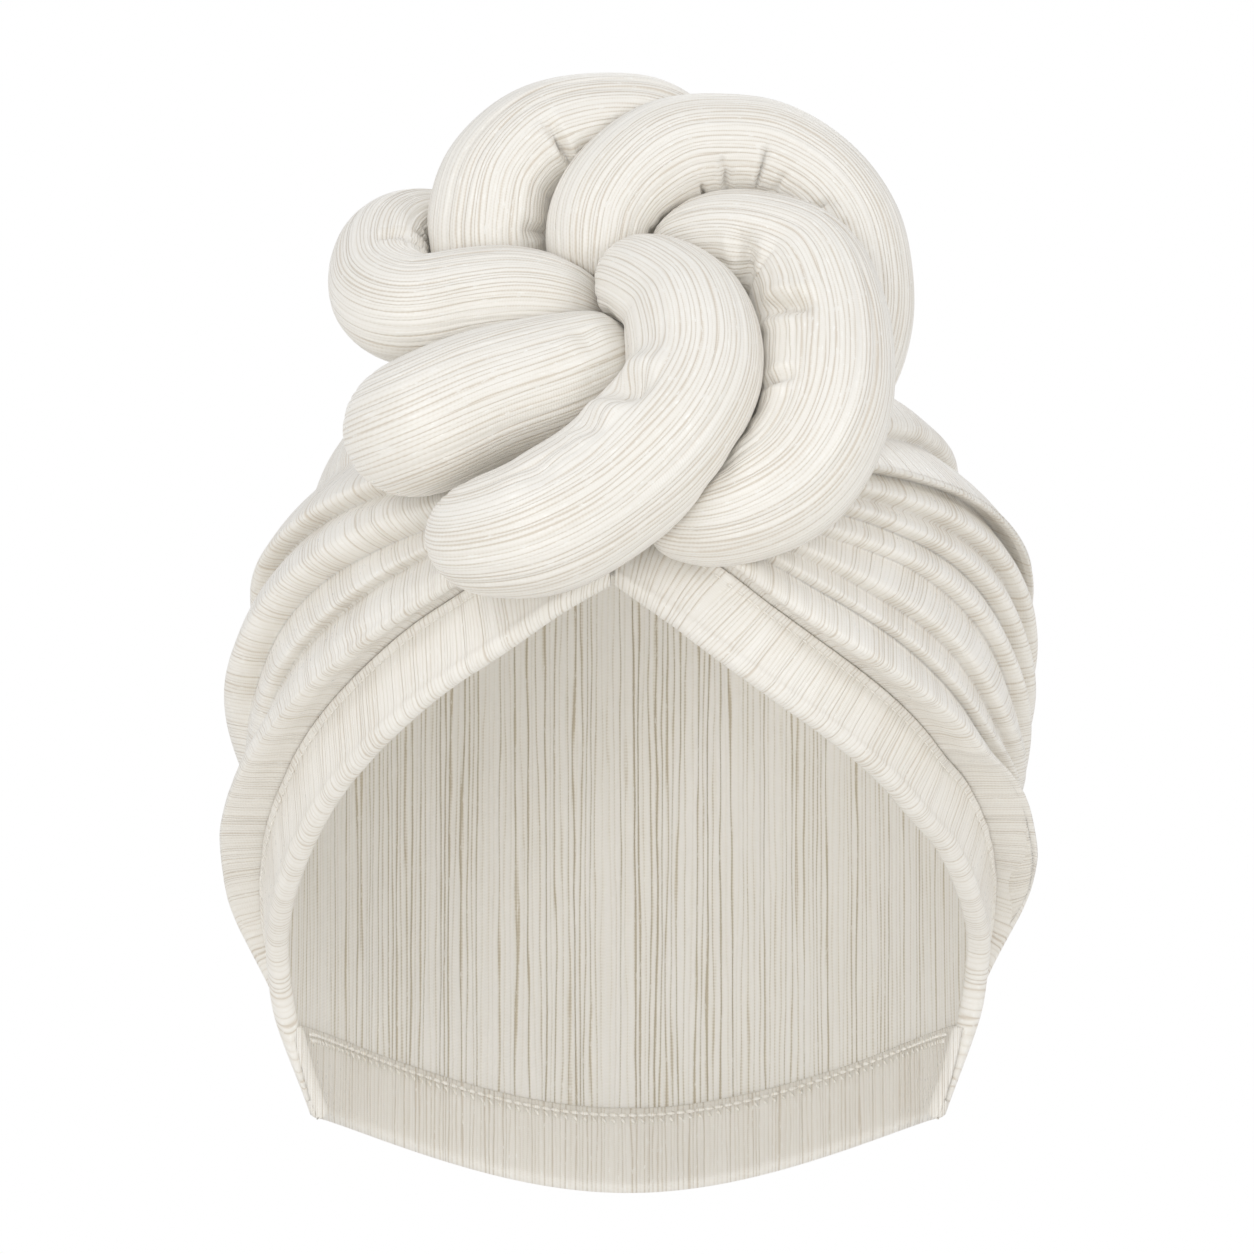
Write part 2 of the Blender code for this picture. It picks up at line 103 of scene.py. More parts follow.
# Cap: its wall, its first ring below the pole, and how its ribs spread round the panel
CAP_WALL = 2.0
CAP_TOP = 0.02
RIBS_HALF = 92.0
RIBS_ROUND = 95.0

# Section of the hem, round the lower edge from outside: distance up and height over the inner face
HEM_SECTION = (
    # share round the section, up, height
    (0.00, 3.4, 2.9),
    (0.06, 1.5, 3.0),
    (0.12, -0.2, 2.6),
    (0.18, -1.2, 1.2),
    (0.24, -1.2, -0.4),
    (0.30, -0.2, -1.4),
    (0.38, 2.5, -1.6),
    (0.60, 10.0, -1.4),
    (0.85, 18.0, -1.3),
    (0.94, 19.8, -1.1),
    (1.00, 20.4, -0.7),
)

# Edge bands, a little softer in section than the solids, with a low ridge along the wraps' seam
BANDS = (
    # side, word, slope of the ribs
    (-1, "left", 0.45),
    (1, "right", -0.15),
)
BAND_LENGTH = 190.0
BAND_ROUND = 50.0
BAND_INNER_FACE = 2.3
BAND_THINS_BY = 0.75
BAND_THINS_OVER = (0.93, 1.0)
BAND_OUTER_FACE = (0.12, 0.76)
BAND_INNER_LUMPS = 0.1

# Section of the edge band: distance in from the face edge and height over the cap's inner face
BAND_SECTION = (
    # share round the section, inward, height
    (0.00, 3.0, -0.2),
    (0.06, 1.4, 0.0),
    (0.12, 0.4, 1.0),
    (0.18, 0.0, 2.6),
    (0.24, 0.4, 4.2),
    (0.30, 1.6, 5.2),
    (0.36, 3.0, 5.5),
    (0.42, 4.4, 5.1),
    (0.50, 7.5, 4.9),
    (0.60, 12.0, 4.8),
    (0.69, 16.4, 4.7),
    (0.73, 17.7, 5.4),
    (0.76, 18.5, 5.3),
    (0.79, 18.8, 4.4),
    (0.82, 18.7, 3.0),
    (0.86, 17.8, 2.5),
    (0.92, 9.5, 2.4),
    (1.00, 3.2, 2.3),
)

# Wraps: the solids' own fan and folds, with a lower edge 1.5 mm higher over the hem
FAN_START_LOW = 39.0
FAN_START_HIGH = 78.0
FAN_OFF_CENTRE = 0.013
WRAP_OVER_HEM = 5.5
WRAP_SEAT = 4.6
WRAP_END = (
    # across, bearing, elevation
    (0.00, 106.0, None),
    (0.18, 122.0, None),
    (0.36, 140.0, None),
    (0.55, 146.0, -14.0),
    (0.75, 155.0, 14.0),
    (1.00, 179.0, 40.0),
)
FOLD_ROUNDNESS = 1.7
FOLD_AT_KNOT = 0.35
FOLD_RISES_BY = 0.35
FOLD_FLATTENS_OVER = 0.22
WRAP_FLAT_FROM = 0.85

# Stretch of a wrap, by share along it, over which the valleys rise off the cap and come back
STAND_OFF_RISE = (0.05, 0.45)
STAND_OFF_FALL = (0.60, 0.95)

# The middle folds start lower at the knot and climb as they run to the side
FOLD_SWEEP = 0.11
SWEEP_ALONG = (0.10, 0.50)
SWEEP_LOW = (0.0, 0.40)
SWEEP_HIGH = (0.60, 1.0)

# The folds lean over their lower side, the lowest one most of all, and stand up at the side
FOLD_LEAN = 0.0060
FIRST_FOLD_LEAN = 0.0032
FIRST_FOLD_WIDTH = 0.08
LEAN_LOST = 0.8
LEAN_LOST_OVER = (0.50, 0.80)

# Above the lowest fold the drape is deeper than in the solids
FOLD_DEPTH = 0.4
FOLD_DEEPENS_OVER = (0.06, 0.12)

# Along the seam a wrap starts level with the band's inner edge, and its first edge tucks in
SEAM_INWARD = BAND_WIDTH - 0.1
SEAM_HEIGHT = 4.9
SEAM_TUCK = 3.0
SEAM_WIDTH = 0.04
SEAM_SOFTNESS = 0.035
FIRST_EDGE = 0.0008

# The wraps are fuller beside the lower corners, the left one more than the right
SIDE_FULLNESS = 4.0
SIDE_DIFFERENCE = 0.8
SIDE_ALONG = 0.87
SIDE_ACROSS = 0.06
SIDE_SPREAD = (0.075, 0.055)

# The free edges lie lower, nearer the cap
EDGE_DROP = 0.9
EDGE_ALONG = (0.90, 1.0)
EDGE_ACROSS = (0.96, 1.0)

# Where the soft lumps set in, the wraps' thickness, and the running measures of their ribs
LUMPS_ALONG = (0.04, 0.25)
LUMPS_ACROSS = (0.0, 0.05)
WRAP_CLOTH = 1.6
WRAP_LENGTH = 240.0
WRAP_WIDTH = 200.0
RIB_SLANT = 12.0

# Folds across each wrap, as in the solids
LEFT_FOLDS = (
    # valley, crest, height, stand_off, flat_from
    (0.00, 0.055, 10.0, 0.5, 0.72),
    (0.13, 0.155, 3.5, 4.0, 0.42),
    (0.20, 0.265, 6.0, 4.0, 0.50),
    (0.33, 0.375, 5.5, 3.0, 0.40),
    (0.42, 0.52, 3.0, 1.0, 0.45),
    (0.66, 0.75, 3.0, 2.0, 0.60),
    (0.84, 0.92, 2.0, 1.5, 0.60),
    (1.00, 1.10, 0.0, 0.5, 1.00),
)
RIGHT_FOLDS = (
    # valley, crest, height, stand_off, flat_from
    (0.00, 0.05, 9.0, 1.0, 0.76),
    (0.085, 0.115, 3.0, 6.0, 0.66),
    (0.145, 0.175, 3.2, 5.5, 0.56),
    (0.21, 0.24, 3.2, 6.0, 0.52),
    (0.27, 0.30, 3.5, 6.5, 0.48),
    (0.325, 0.35, 3.5, 8.0, 0.46),
    (0.375, 0.40, 5.5, 9.0, 0.44),
    (0.44, 0.49, 4.5, 5.5, 0.40),
    (0.60, 0.69, 3.0, 3.0, 0.60),
    (0.80, 0.90, 2.0, 1.5, 0.60),
    (1.00, 1.10, 0.0, 0.5, 1.00),
)

# Soft lumps of each piece: scale along and across it, size of a lump, seed and height
HEM_LUMPS = ((1.6, 30.0, 7.0, 5, 0.25),)
BAND_LUMPS = ((BAND_LENGTH, 60.0, 7.0, 11, 0.22), (BAND_LENGTH, 8.0, 1.6, 17, 0.10))
WRAP_LUMPS = ((26.0, 260.0, 5.0, 21, 0.5), (60.0, 300.0, 2.2, 31, 0.22))
WRAP_RIB_WAVES = ((60.0, 200.0, 9.0, 51, 1.3),)
ROLL_LUMPS = ((1.0, 1.0, 6.5, 40, 1.0),)
ROLL_PUCKERS = ((1.0, 0.25, 1.5, 60, 0.45),)

# Knot, as in the solids: each roll's middle line from the front, distance forward and radius
KNOT_Z = 6.0
KNOT_Y = -77.0
KNOT_LEAN = math.radians(32.0)
ROLLS = {
    "knot_front_roll": (
        # x, z, forward, radius
        (2.0, 14.0, -10.0, 8.0),
        (4.2, 18.5, 5.0, 13.3),
        (14.0, 11.0, 14.0, 16.0),
        (16.0, -3.5, 16.0, 17.0),
        (9.0, -17.0, 16.0, 17.8),
        (-6.0, -31.0, 14.0, 18.0),
        (-20.5, -39.0, 12.0, 17.3),
        (-34.0, -42.0, 5.0, 15.0),
        (-38.5, -39.5, -7.0, 10.5),
    ),
    "knot_lower_left_roll": (
        # x, z, forward, radius
        (1.0, 3.0, -9.0, 8.0),
        (-5.0, 1.0, 0.0, 12.5),
        (-17.0, -3.5, 4.0, 15.8),
        (-36.0, -9.5, 6.0, 17.3),
        (-49.5, -14.8, 3.0, 17.5),
        (-53.8, -16.0, -9.0, 15.5),
        (-51.0, -14.0, -20.0, 10.0),
    ),
    "knot_upper_left_roll": (
        # x, z, forward, radius
        (-1.5, 9.5, -14.0, 5.5),
        (-7.0, 12.3, -7.0, 8.0),
        (-15.0, 14.8, -4.0, 11.0),
        (-26.0, 16.0, -3.0, 13.0),
        (-38.5, 15.0, -5.0, 13.7),
        (-52.0, 13.4, -7.0, 14.0),
        (-59.5, 18.0, -14.0, 13.6),
        (-59.0, 27.5, -23.0, 12.5),
        (-52.0, 32.5, -31.0, 11.5),
        (-41.0, 30.5, -37.0, 11.0),
        (-29.0, 18.0, -41.0, 10.5),
        (-23.0, 6.0, -42.0, 8.0),
    ),
    "knot_top_left_roll": (
        # x, z, forward, radius
        (-35.5, 14.0, -29.0, 11.0),
        (-34.2, 24.0, -21.0, 15.3),
        (-34.2, 34.5, -14.0, 15.3),
        (-31.2, 46.0, -9.0, 15.0),
        (-21.5, 55.0, -8.0, 14.5),
        (-7.0, 59.0, -9.0, 14.2),
        (7.0, 57.0, -14.0, 13.5),
        (16.5, 46.0, -26.0, 12.5),
        (17.0, 28.0, -35.0, 11.5),
        (14.0, 10.0, -39.0, 8.5),
    ),
    "knot_arch_roll": (
        # x, z, forward, radius
        (-7.0, 18.0, -16.0, 8.0),
        (-7.5, 26.5, -7.0, 12.0),
        (-5.5, 37.0, -2.0, 14.0),
        (1.0, 45.5, 0.0, 14.4),
        (11.0, 51.5, 0.0, 14.5),
        (22.5, 52.5, -2.0, 14.5),
        (34.5, 50.5, -5.0, 14.5),
        (46.0, 43.5, -9.0, 14.5),
        (53.0, 33.5, -13.0, 14.5),
        (55.5, 22.0, -17.0, 14.5),
        (55.5, 10.0, -21.0, 14.3),
        (53.0, -2.0, -24.0, 13.0),
        (48.0, -12.0, -26.0, 9.0),
    ),
    "knot_right_roll": (
        # x, z, forward, radius
        (9.5, 24.0, -12.0, 8.0),
        (16.5, 29.5, -2.0, 11.0),
        (29.5, 30.0, 4.0, 13.2),
        (41.5, 24.0, 4.5, 15.2),
        (47.0, 10.5, 4.0, 17.0),
        (47.5, -3.0, 3.0, 17.8),
        (45.0, -16.0, 2.5, 17.6),
        (38.0, -27.0, 1.0, 16.8),
        (27.0, -33.0, -2.0, 15.8),
        (15.0, -35.5, -4.0, 13.8),
        (6.0, -34.0, -8.0, 9.0),
    ),
}

# Tucks and pinches in the rolls' covers, by the place where each shows from the front
CREASES = {
    "knot_front_roll": (
        # x, z, half length, half width, depth, slant in degrees
        (-1.0, -5.5, 7.0, 4.5, 4.0, 0.0),
        (2.0, 8.0, 8.0, 2.4, 1.2, 20.0),
        (-9.0, -16.0, 4.0, 3.0, 0.9, 0.0),
        (-22.0, -27.0, 4.0, 3.2, 0.8, 0.0),
    ),
    "knot_arch_roll": (
        # x, z, half length, half width, depth, slant in degrees
        (18.5, 41.5, 4.0, 0.9, 1.5, 25.0),
        (24.0, 46.0, 5.5, 0.8, 1.6, 12.0),
        (32.5, 48.5, 5.5, 0.8, 1.6, 0.0),
        (37.5, 44.5, 3.5, 1.0, 0.9, -10.0),
        (47.0, 39.0, 4.5, 0.9, 1.4, -15.0),
        (51.0, 33.5, 3.5, 1.0, 0.8, -10.0),
    ),
    "knot_right_roll": (
        # x, z, half length, half width, depth, slant in degrees
        (29.0, 25.5, 7.0, 2.0, 2.6, 20.0),
        (38.0, 14.0, 7.5, 2.4, 3.2, -20.0),
        (36.0, -3.5, 5.0, 1.6, 1.6, 10.0),
    ),
    "knot_top_left_roll": (
        # x, z, half length, half width, depth, slant in degrees
        (-17.0, 55.0, 6.0, 1.8, 2.0, 0.0),
        (-14.5, 51.0, 5.0, 1.2, 1.4, 15.0),
        (-22.0, 33.0, 5.0, 1.6, 1.0, 0.0),
    ),
    "knot_upper_left_roll": (
        # x, z, half length, half width, depth, slant in degrees
        (-57.0, 32.0, 5.0, 1.3, 1.5, 30.0),
        (-53.5, 30.5, 5.0, 1.1, 1.3, 20.0),
        (-49.5, 31.0, 4.5, 1.0, 1.2, 10.0),
    ),
    "knot_lower_left_roll": (
        # x, z, half length, half width, depth, slant in degrees
        (-10.0, 5.0, 4.0, 2.0, 0.8, 0.0),
    ),
}
CREASE_DEPTH = 1.3
CREASE_LIPS_AT = 2.1
CREASE_LIP_HEIGHT = 0.35
SEEN_FROM_FRONT = 0.15
HIDDEN = 1000.0

# Knot meshes: coarse lines for the neighbours and the pressing, fine ones for the covers
NEIGHBOUR_STEP = 3.0
PRESS_STEP = 2.6
PRESS_COLUMNS = 48
PRESS_HALVINGS = 12
PRESS_ROUNDING = 2
COVER_STEP = 1.3
COVER_COLUMNS = 220
ROLL_GAP = 0.3
SEAT_CLEAR = 0.5
SEAT_SEARCH = 0.6
THINNEST_ROLL = 1.0
PUCKER_DEPTH = 2.5
TIP_SHARE = 0.8
ROLL_LUMP_ROUND = 14.0
ROLL_ROUND = 15.0
ROLL_RIB_TWIST = 0.04

# Deeper grooves round a roll, in radians but for the depth and the wave
GROOVE_COUNT = 30
GROOVE_SEED = 80
GROOVE_DEPTH = (0.08, 0.28)
GROOVE_SWAY = (0.0, 0.05)
GROOVE_WIDTH = 0.035
GROOVE_WAVE = 22.0

# Stitches
HEM_STITCH_COUNT = 92
HEM_STITCH_START = 3.0
HEM_STITCH_HEIGHT = 2.1
HEM_STITCH_ROWS = (
    # name, degrees above the lower edge, length, width, slant
    ("hem_stitches", 7.75, 2.5, 1.1, 0.96),
    ("hem_stitch_loops", 7.15, 1.7, 0.75, 0.45),
)
SEAM_STITCH_COUNT = 60
SEAM_STITCH_SPAN = (0.1, 0.97)
SEAM_STITCH_INWARD = BAND_WIDTH - 3.0
SEAM_STITCH_HEIGHT = 5.1
SEAM_STITCH_LENGTH = 1.9
SEAM_STITCH_WIDTH = 0.45
SEAM_STITCH_SLANT = 1.0
STITCH_RINGS = 5
STITCH_SIDES = 6
STITCH_RISE = 0.35
STITCH_FLATNESS = 0.7
STITCH_TIP = 0.04

# Stage, in metres: the lights' powers are shares of the key light's
HAT_MIDDLE = (-0.0002, -0.06, -0.0642)
OPENING_MIDDLE = (0.0, 0.05, -0.175)
SENSOR_WIDTH = 36.0
LIGHTS = (
    # name, kind, place, target, power, settings of its kind
    ("key", "AREA", (-1.3, -1.6, 1.2), HAT_MIDDLE, 1.0, {"shape": "DISK", "size": 0.9}),
    ("fill", "AREA", (1.5, -1.3, 0.5), HAT_MIDDLE, 0.8, {"shape": "DISK", "size": 0.6}),
    ("front", "AREA", (-0.6, -2.2, -0.4), HAT_MIDDLE, 2.0, {"shape": "DISK", "size": 1.2}),
    ("inside", "SPOT", (0.0, -1.5, -0.75), OPENING_MIDDLE, 10.0,
     {"spot_size": math.radians(14), "spot_blend": 1.0, "shadow_soft_size": 0.2}),
    ("back", "AREA", (0.3, 1.8, 1.2), HAT_MIDDLE, 0.6, {"shape": "DISK", "size": 1.2}),
)


def unit(vectors):
    return vectors / np.maximum(np.linalg.norm(vectors, axis=-1, keepdims=True), 1e-12)


def ease(low, high, value):
    t = np.clip((value - low) / (high - low), 0.0, 1.0)
    return t * t * (3 - 2 * t)


def smooth_through(table, where):
    """Later columns of a table at places in its first one, on a smooth curve."""
    table = np.asarray(table, float)
    where = np.asarray(where, float)
    keys = table[:, 0]
    rows = table[:, 1:]
    i = np.clip(np.searchsorted(keys, where) - 1, 0, len(keys) - 2)
    span = keys[i + 1] - keys[i]
    t = ((where - keys[i]) / span)[..., None]
    after = np.minimum(np.arange(len(keys)) + 1, len(keys) - 1)
    before = np.maximum(np.arange(len(keys)) - 1, 0)
    slopes = (rows[after] - rows[before]) / (keys[after] - keys[before])[:, None]
    span = span[..., None]
    return (rows[i] * (2 * t**3 - 3 * t**2 + 1) + slopes[i] * span * (t**3 - 2 * t**2 + t)
            + rows[i + 1] * (3 * t**2 - 2 * t**3) + slopes[i + 1] * span * (t**3 - t**2))


def head_points(directions):
    """Points of the cap's inner face in directions from the middle of its widest level."""
    level = np.hypot(directions[..., 0], directions[..., 1])
    up = directions[..., 2]
    fullness = np.where(up >= 0, CROWN_FULLNESS, LOWER_FULLNESS)
    reach = np.where(up >= 0, CROWN_RISE, LOWER_REACH)
    stretch = (level**fullness + np.abs(up)**fullness) ** (-1 / fullness)
    return np.stack([HEAD_HALF[0] * stretch * directions[..., 0],
                     HEAD_HALF[1] * stretch * directions[..., 1],
                     WIDEST_Z + reach * stretch * up], axis=-1)


def head_normals(points):
    rise = points[..., 2] - WIDEST_Z
    fullness = np.where(rise >= 0, CROWN_FULLNESS, LOWER_FULLNESS)
    reach = np.where(rise >= 0, CROWN_RISE, LOWER_REACH)
    across = points[..., 0] / HEAD_HALF[0]
    along = points[..., 1] / HEAD_HALF[1]
    flat = np.hypot(across, along) ** (fullness - 2)
    rise = rise / reach
    steep = np.maximum(np.abs(rise), 1e-9) ** (fullness - 2)
    return unit(np.stack([flat * across / HEAD_HALF[0], flat * along / HEAD_HALF[1],
                          steep * rise / reach], axis=-1))


def directions_of(points):
    rise = points[..., 2] - WIDEST_Z
    reach = np.where(rise >= 0, CROWN_RISE, LOWER_REACH)
    return unit(np.stack([points[..., 0] / HEAD_HALF[0], points[..., 1] / HEAD_HALF[1],
                          rise / reach], axis=-1))


def cloth_points(directions, heights):
    base = head_points(directions)
    return base + head_normals(base) * np.asarray(heights)[..., None]


def from_bearing(bearing, elevation):
    turn = np.radians(bearing)
    lift = np.radians(elevation)
    return np.stack(np.broadcast_arrays(np.sin(turn) * np.cos(lift),
                                        -np.cos(turn) * np.cos(lift), np.sin(lift)), axis=-1)


def elevation_at(z):
    z = np.asarray(z, float)
    fullness = np.where(z >= WIDEST_Z, CROWN_FULLNESS, LOWER_FULLNESS)
    reach = np.where(z >= WIDEST_Z, CROWN_RISE, LOWER_REACH)
    rise = (z - WIDEST_Z) / reach
    level = (1 - np.abs(rise)**fullness) ** (1 / fullness)
    return np.degrees(np.arctan2(rise, level))


def hem_z(bearing):
    share = (np.sin(np.radians(bearing)) / math.sin(math.radians(CORNER_BEARING)))**2
    return NAPE_Z + (CORNER_Z - NAPE_Z) * share


def face_edge(side, turn):
    z = smooth_through(FACE_EDGE, turn)[..., 0 if side < 0 else 1]
    to_corner = CORNER_BEARING - side * PEAK_BEARING
    bearing = PEAK_BEARING + side * to_corner * turn / CORNER_BEARING
    return from_bearing(bearing, elevation_at(z))


def in_from_edge(side, share, inward):
    """Directions at distances in from the face edge, mitred upright at the peak."""
    share = np.asarray(share, float)
    inward = np.asarray(inward, float)
    turn = BAND_CLEAR_OF_PEAK + (CORNER_BEARING - BAND_CLEAR_OF_PEAK) * share
    step = 0.3
    here = head_points(face_edge(side, turn))
    ahead = head_points(face_edge(side, np.minimum(turn + step, CORNER_BEARING)))
    behind = head_points(face_edge(side, turn - step))
    normal = head_normals(here)
    inside = np.cross(normal, unit(ahead - behind))
    inside = inside * np.where(inside[..., 2:] < 0, -1.0, 1.0)
    upright = np.cross(normal, np.array([1.0, 0.0, 0.0]))
    upright = upright * np.where(upright[..., 2:] < 0, -1.0, 1.0)
    mix = ease(0.0, BAND_MITRE, share)[..., None]
    inside = unit(upright * (1 - mix) + inside * mix)
    return directions_of(here + inside * inward[..., None])


def slerp(a, b, t):
    angle = np.arccos(np.clip((a * b).sum(-1), -1.0, 1.0))[..., None]
    t = np.asarray(t)[..., None]
    return (a * np.sin((1 - t) * angle) + b * np.sin(t * angle)) / np.sin(angle)


def wrap_directions(side, along, across):
    """Directions on a wrap: along a fold from the knot, across the fan from the face seam up."""
    def start(share):
        first = from_bearing(0.0, FAN_START_LOW + (FAN_START_HIGH - FAN_START_LOW) * share)
        first[..., 0] = side * FAN_OFF_CENTRE
        return unit(first)

    def end(share):
        corner = in_from_edge(side, np.ones(1), np.full(1, SEAM_INWARD))[0]
        rows = []
        for place, bearing, elevation in WRAP_END:
            if elevation is None:
                elevation = float(elevation_at(hem_z(bearing) + WRAP_OVER_HEM))
            rows.append((place, bearing, elevation))
        spots = smooth_through(rows, share)
        last = from_bearing(side * spots[..., 0], spots[..., 1])
        near = np.maximum(0.0, 1 - share / WRAP_END[1][0])[..., None]
        return unit(last * (1 - near) + corner * near)

    none = np.zeros_like(across)
    seam = in_from_edge(side, along, np.full_like(along, SEAM_INWARD))
    drift = seam - slerp(start(none), end(none), along)
    line = slerp(start(across), end(across), along)
    return unit(line + drift * ((1 - across)**2)[..., None])


def fold_heights(folds, along, across):
    """Fold profile: round crests with a sharp valley between them."""
    heights = np.zeros_like(across)
    for (valley, crest, height, _, flat_from), following in zip(folds, folds[1:]):
        next_valley = following[0]
        inside = (across >= valley) & (across <= next_valley)
        reach = np.where(across < crest, crest - valley, next_valley - crest)
        shape = height * (1 - np.abs((across - crest) / reach)**FOLD_ROUNDNESS)
        shape = shape * (1 - ease(flat_from, flat_from + FOLD_FLATTENS_OVER, along))
        heights = np.where(inside, shape, heights)
    rise = FOLD_AT_KNOT + (1 - FOLD_AT_KNOT) * ease(0.0, FOLD_RISES_BY, along)
    return heights * rise * (1 - ease(WRAP_FLAT_FROM, 1.0, along))


def stand_off_heights(folds, along, across):
    """How far the folds' valleys stand off the cap."""
    stand_off = smooth_through([(fold[0], fold[3]) for fold in folds], across)[..., 0]
    return WRAP_SEAT + stand_off * ease(*STAND_OFF_RISE, along) * (1 - ease(*STAND_OFF_FALL, along))


def swept(along, across):
    """Share across the fan at which a fold runs, lower near the knot than at the side."""
    drop = FOLD_SWEEP * (1 - ease(*SWEEP_ALONG, along))
    return across - drop * ease(*SWEEP_LOW, across) * (1 - ease(*SWEEP_HIGH, across))


def ripples(u, v, scale, seed):
    """Smooth low lumps, the same each run, from a few crossed waves; about -1 to 1."""
    rng = np.random.default_rng(seed)
    total = np.zeros(np.broadcast(u, v).shape)
    for _ in range(7):
        angle = rng.uniform(0, 2 * math.pi)
        phase = rng.uniform(0, 2 * math.pi)
        size = rng.uniform(0.6, 1.6)
        total = total + np.sin((u * math.cos(angle) + v * math.sin(angle)) * size / scale + phase)
    return total / 4.0


def lumps(table, along, across, shift):
    """Sum of the soft lumps that a table lists."""
    total = 0.0
    for long, wide, size, seed, height in table:
        total = total + ripples(along * long, across * wide, size, seed + shift) * height
    return total


def cell_corners(grid):
    """The four corners of each cell of a grid of numbers, in order round the cell."""
    return np.stack([grid[:-1, :-1].ravel(), grid[:-1, 1:].ravel(),
                     grid[1:, 1:].ravel(), grid[1:, :-1].ravel()], axis=1)


def sheet_mesh(name, points, ribs, close_across=False):
    """Mesh from a grid of points in millimetres, with the rib directions kept as a UV map in metres."""
    rows, columns = points.shape[:2]
    index = np.arange(rows * columns).reshape(rows, columns)
    if close_across:
        index = np.concatenate([index, index[:, :1]], axis=1)
    quads = cell_corners(index)
    mesh = bpy.data.meshes.new(name)
    mesh.from_pydata((points.reshape(-1, 3) * MM).tolist(), [], quads.tolist())
    layer = mesh.uv_layers.new(name="ribs")
    if close_across:
        last = ribs[:, :1].copy()
        last[..., 0] = ribs[:, -1:, 0] + (ribs[:, 1:2, 0] - ribs[:, :1, 0])
        ribs = np.concatenate([ribs, last], axis=1)
    wide = ribs.shape[1]
    corners = cell_corners(np.arange(rows * wide).reshape(rows, wide)).ravel()
    layer.data.foreach_set("uv", (ribs.reshape(-1, 2)[corners] * MM).astype(np.float32).ravel())
    mesh.shade_smooth()
    return mesh


def faces_toward(mesh, centre):
    """Whether a sheet's faces look toward a point more than away from it."""
    mesh.update()
    centre = Vector(centre)
    return sum(face.normal.dot(face.center - centre) * face.area for face in mesh.polygons) < 0


def put(name, mesh, material, node=None):
    piece = bpy.data.objects.new(name, mesh)
    mesh.materials.append(material)
    bpy.context.scene.collection.objects.link(piece)
    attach(piece, "root")
    if node:
        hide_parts(node)
    return piece


def thicken(piece, thickness, outward):
    """Thickens a sheet away from the head's room, or toward it."""
    solid = piece.modifiers.new("Cloth", "SOLIDIFY")
    solid.thickness = thickness * MM
    faces_in = faces_toward(piece.data, (0, 0, WIDEST_Z * MM))
    solid.offset = -1.0 if faces_in == outward else 1.0


def linear(code):
    """Linear colour from an sRGB hex code."""
    values = [int(code[i:i + 2], 16) / 255 for i in (1, 3, 5)]
    return tuple(v / 12.92 if v <= 0.04045 else ((v + 0.055) / 1.055)**2.4 for v in values) + (1.0,)


def add(tree, kind, links=(), values=(), **settings):
    """Adds a node with its settings, its sockets' values and the links into it."""
    node = tree.nodes.new(kind)
    for key, value in settings.items():
        setattr(node, key, value)
    for socket, value in dict(values).items():
        node.inputs[socket].default_value = value
    for socket, source in dict(links).items():
        tree.links.new(source, node.inputs[socket])
    return node


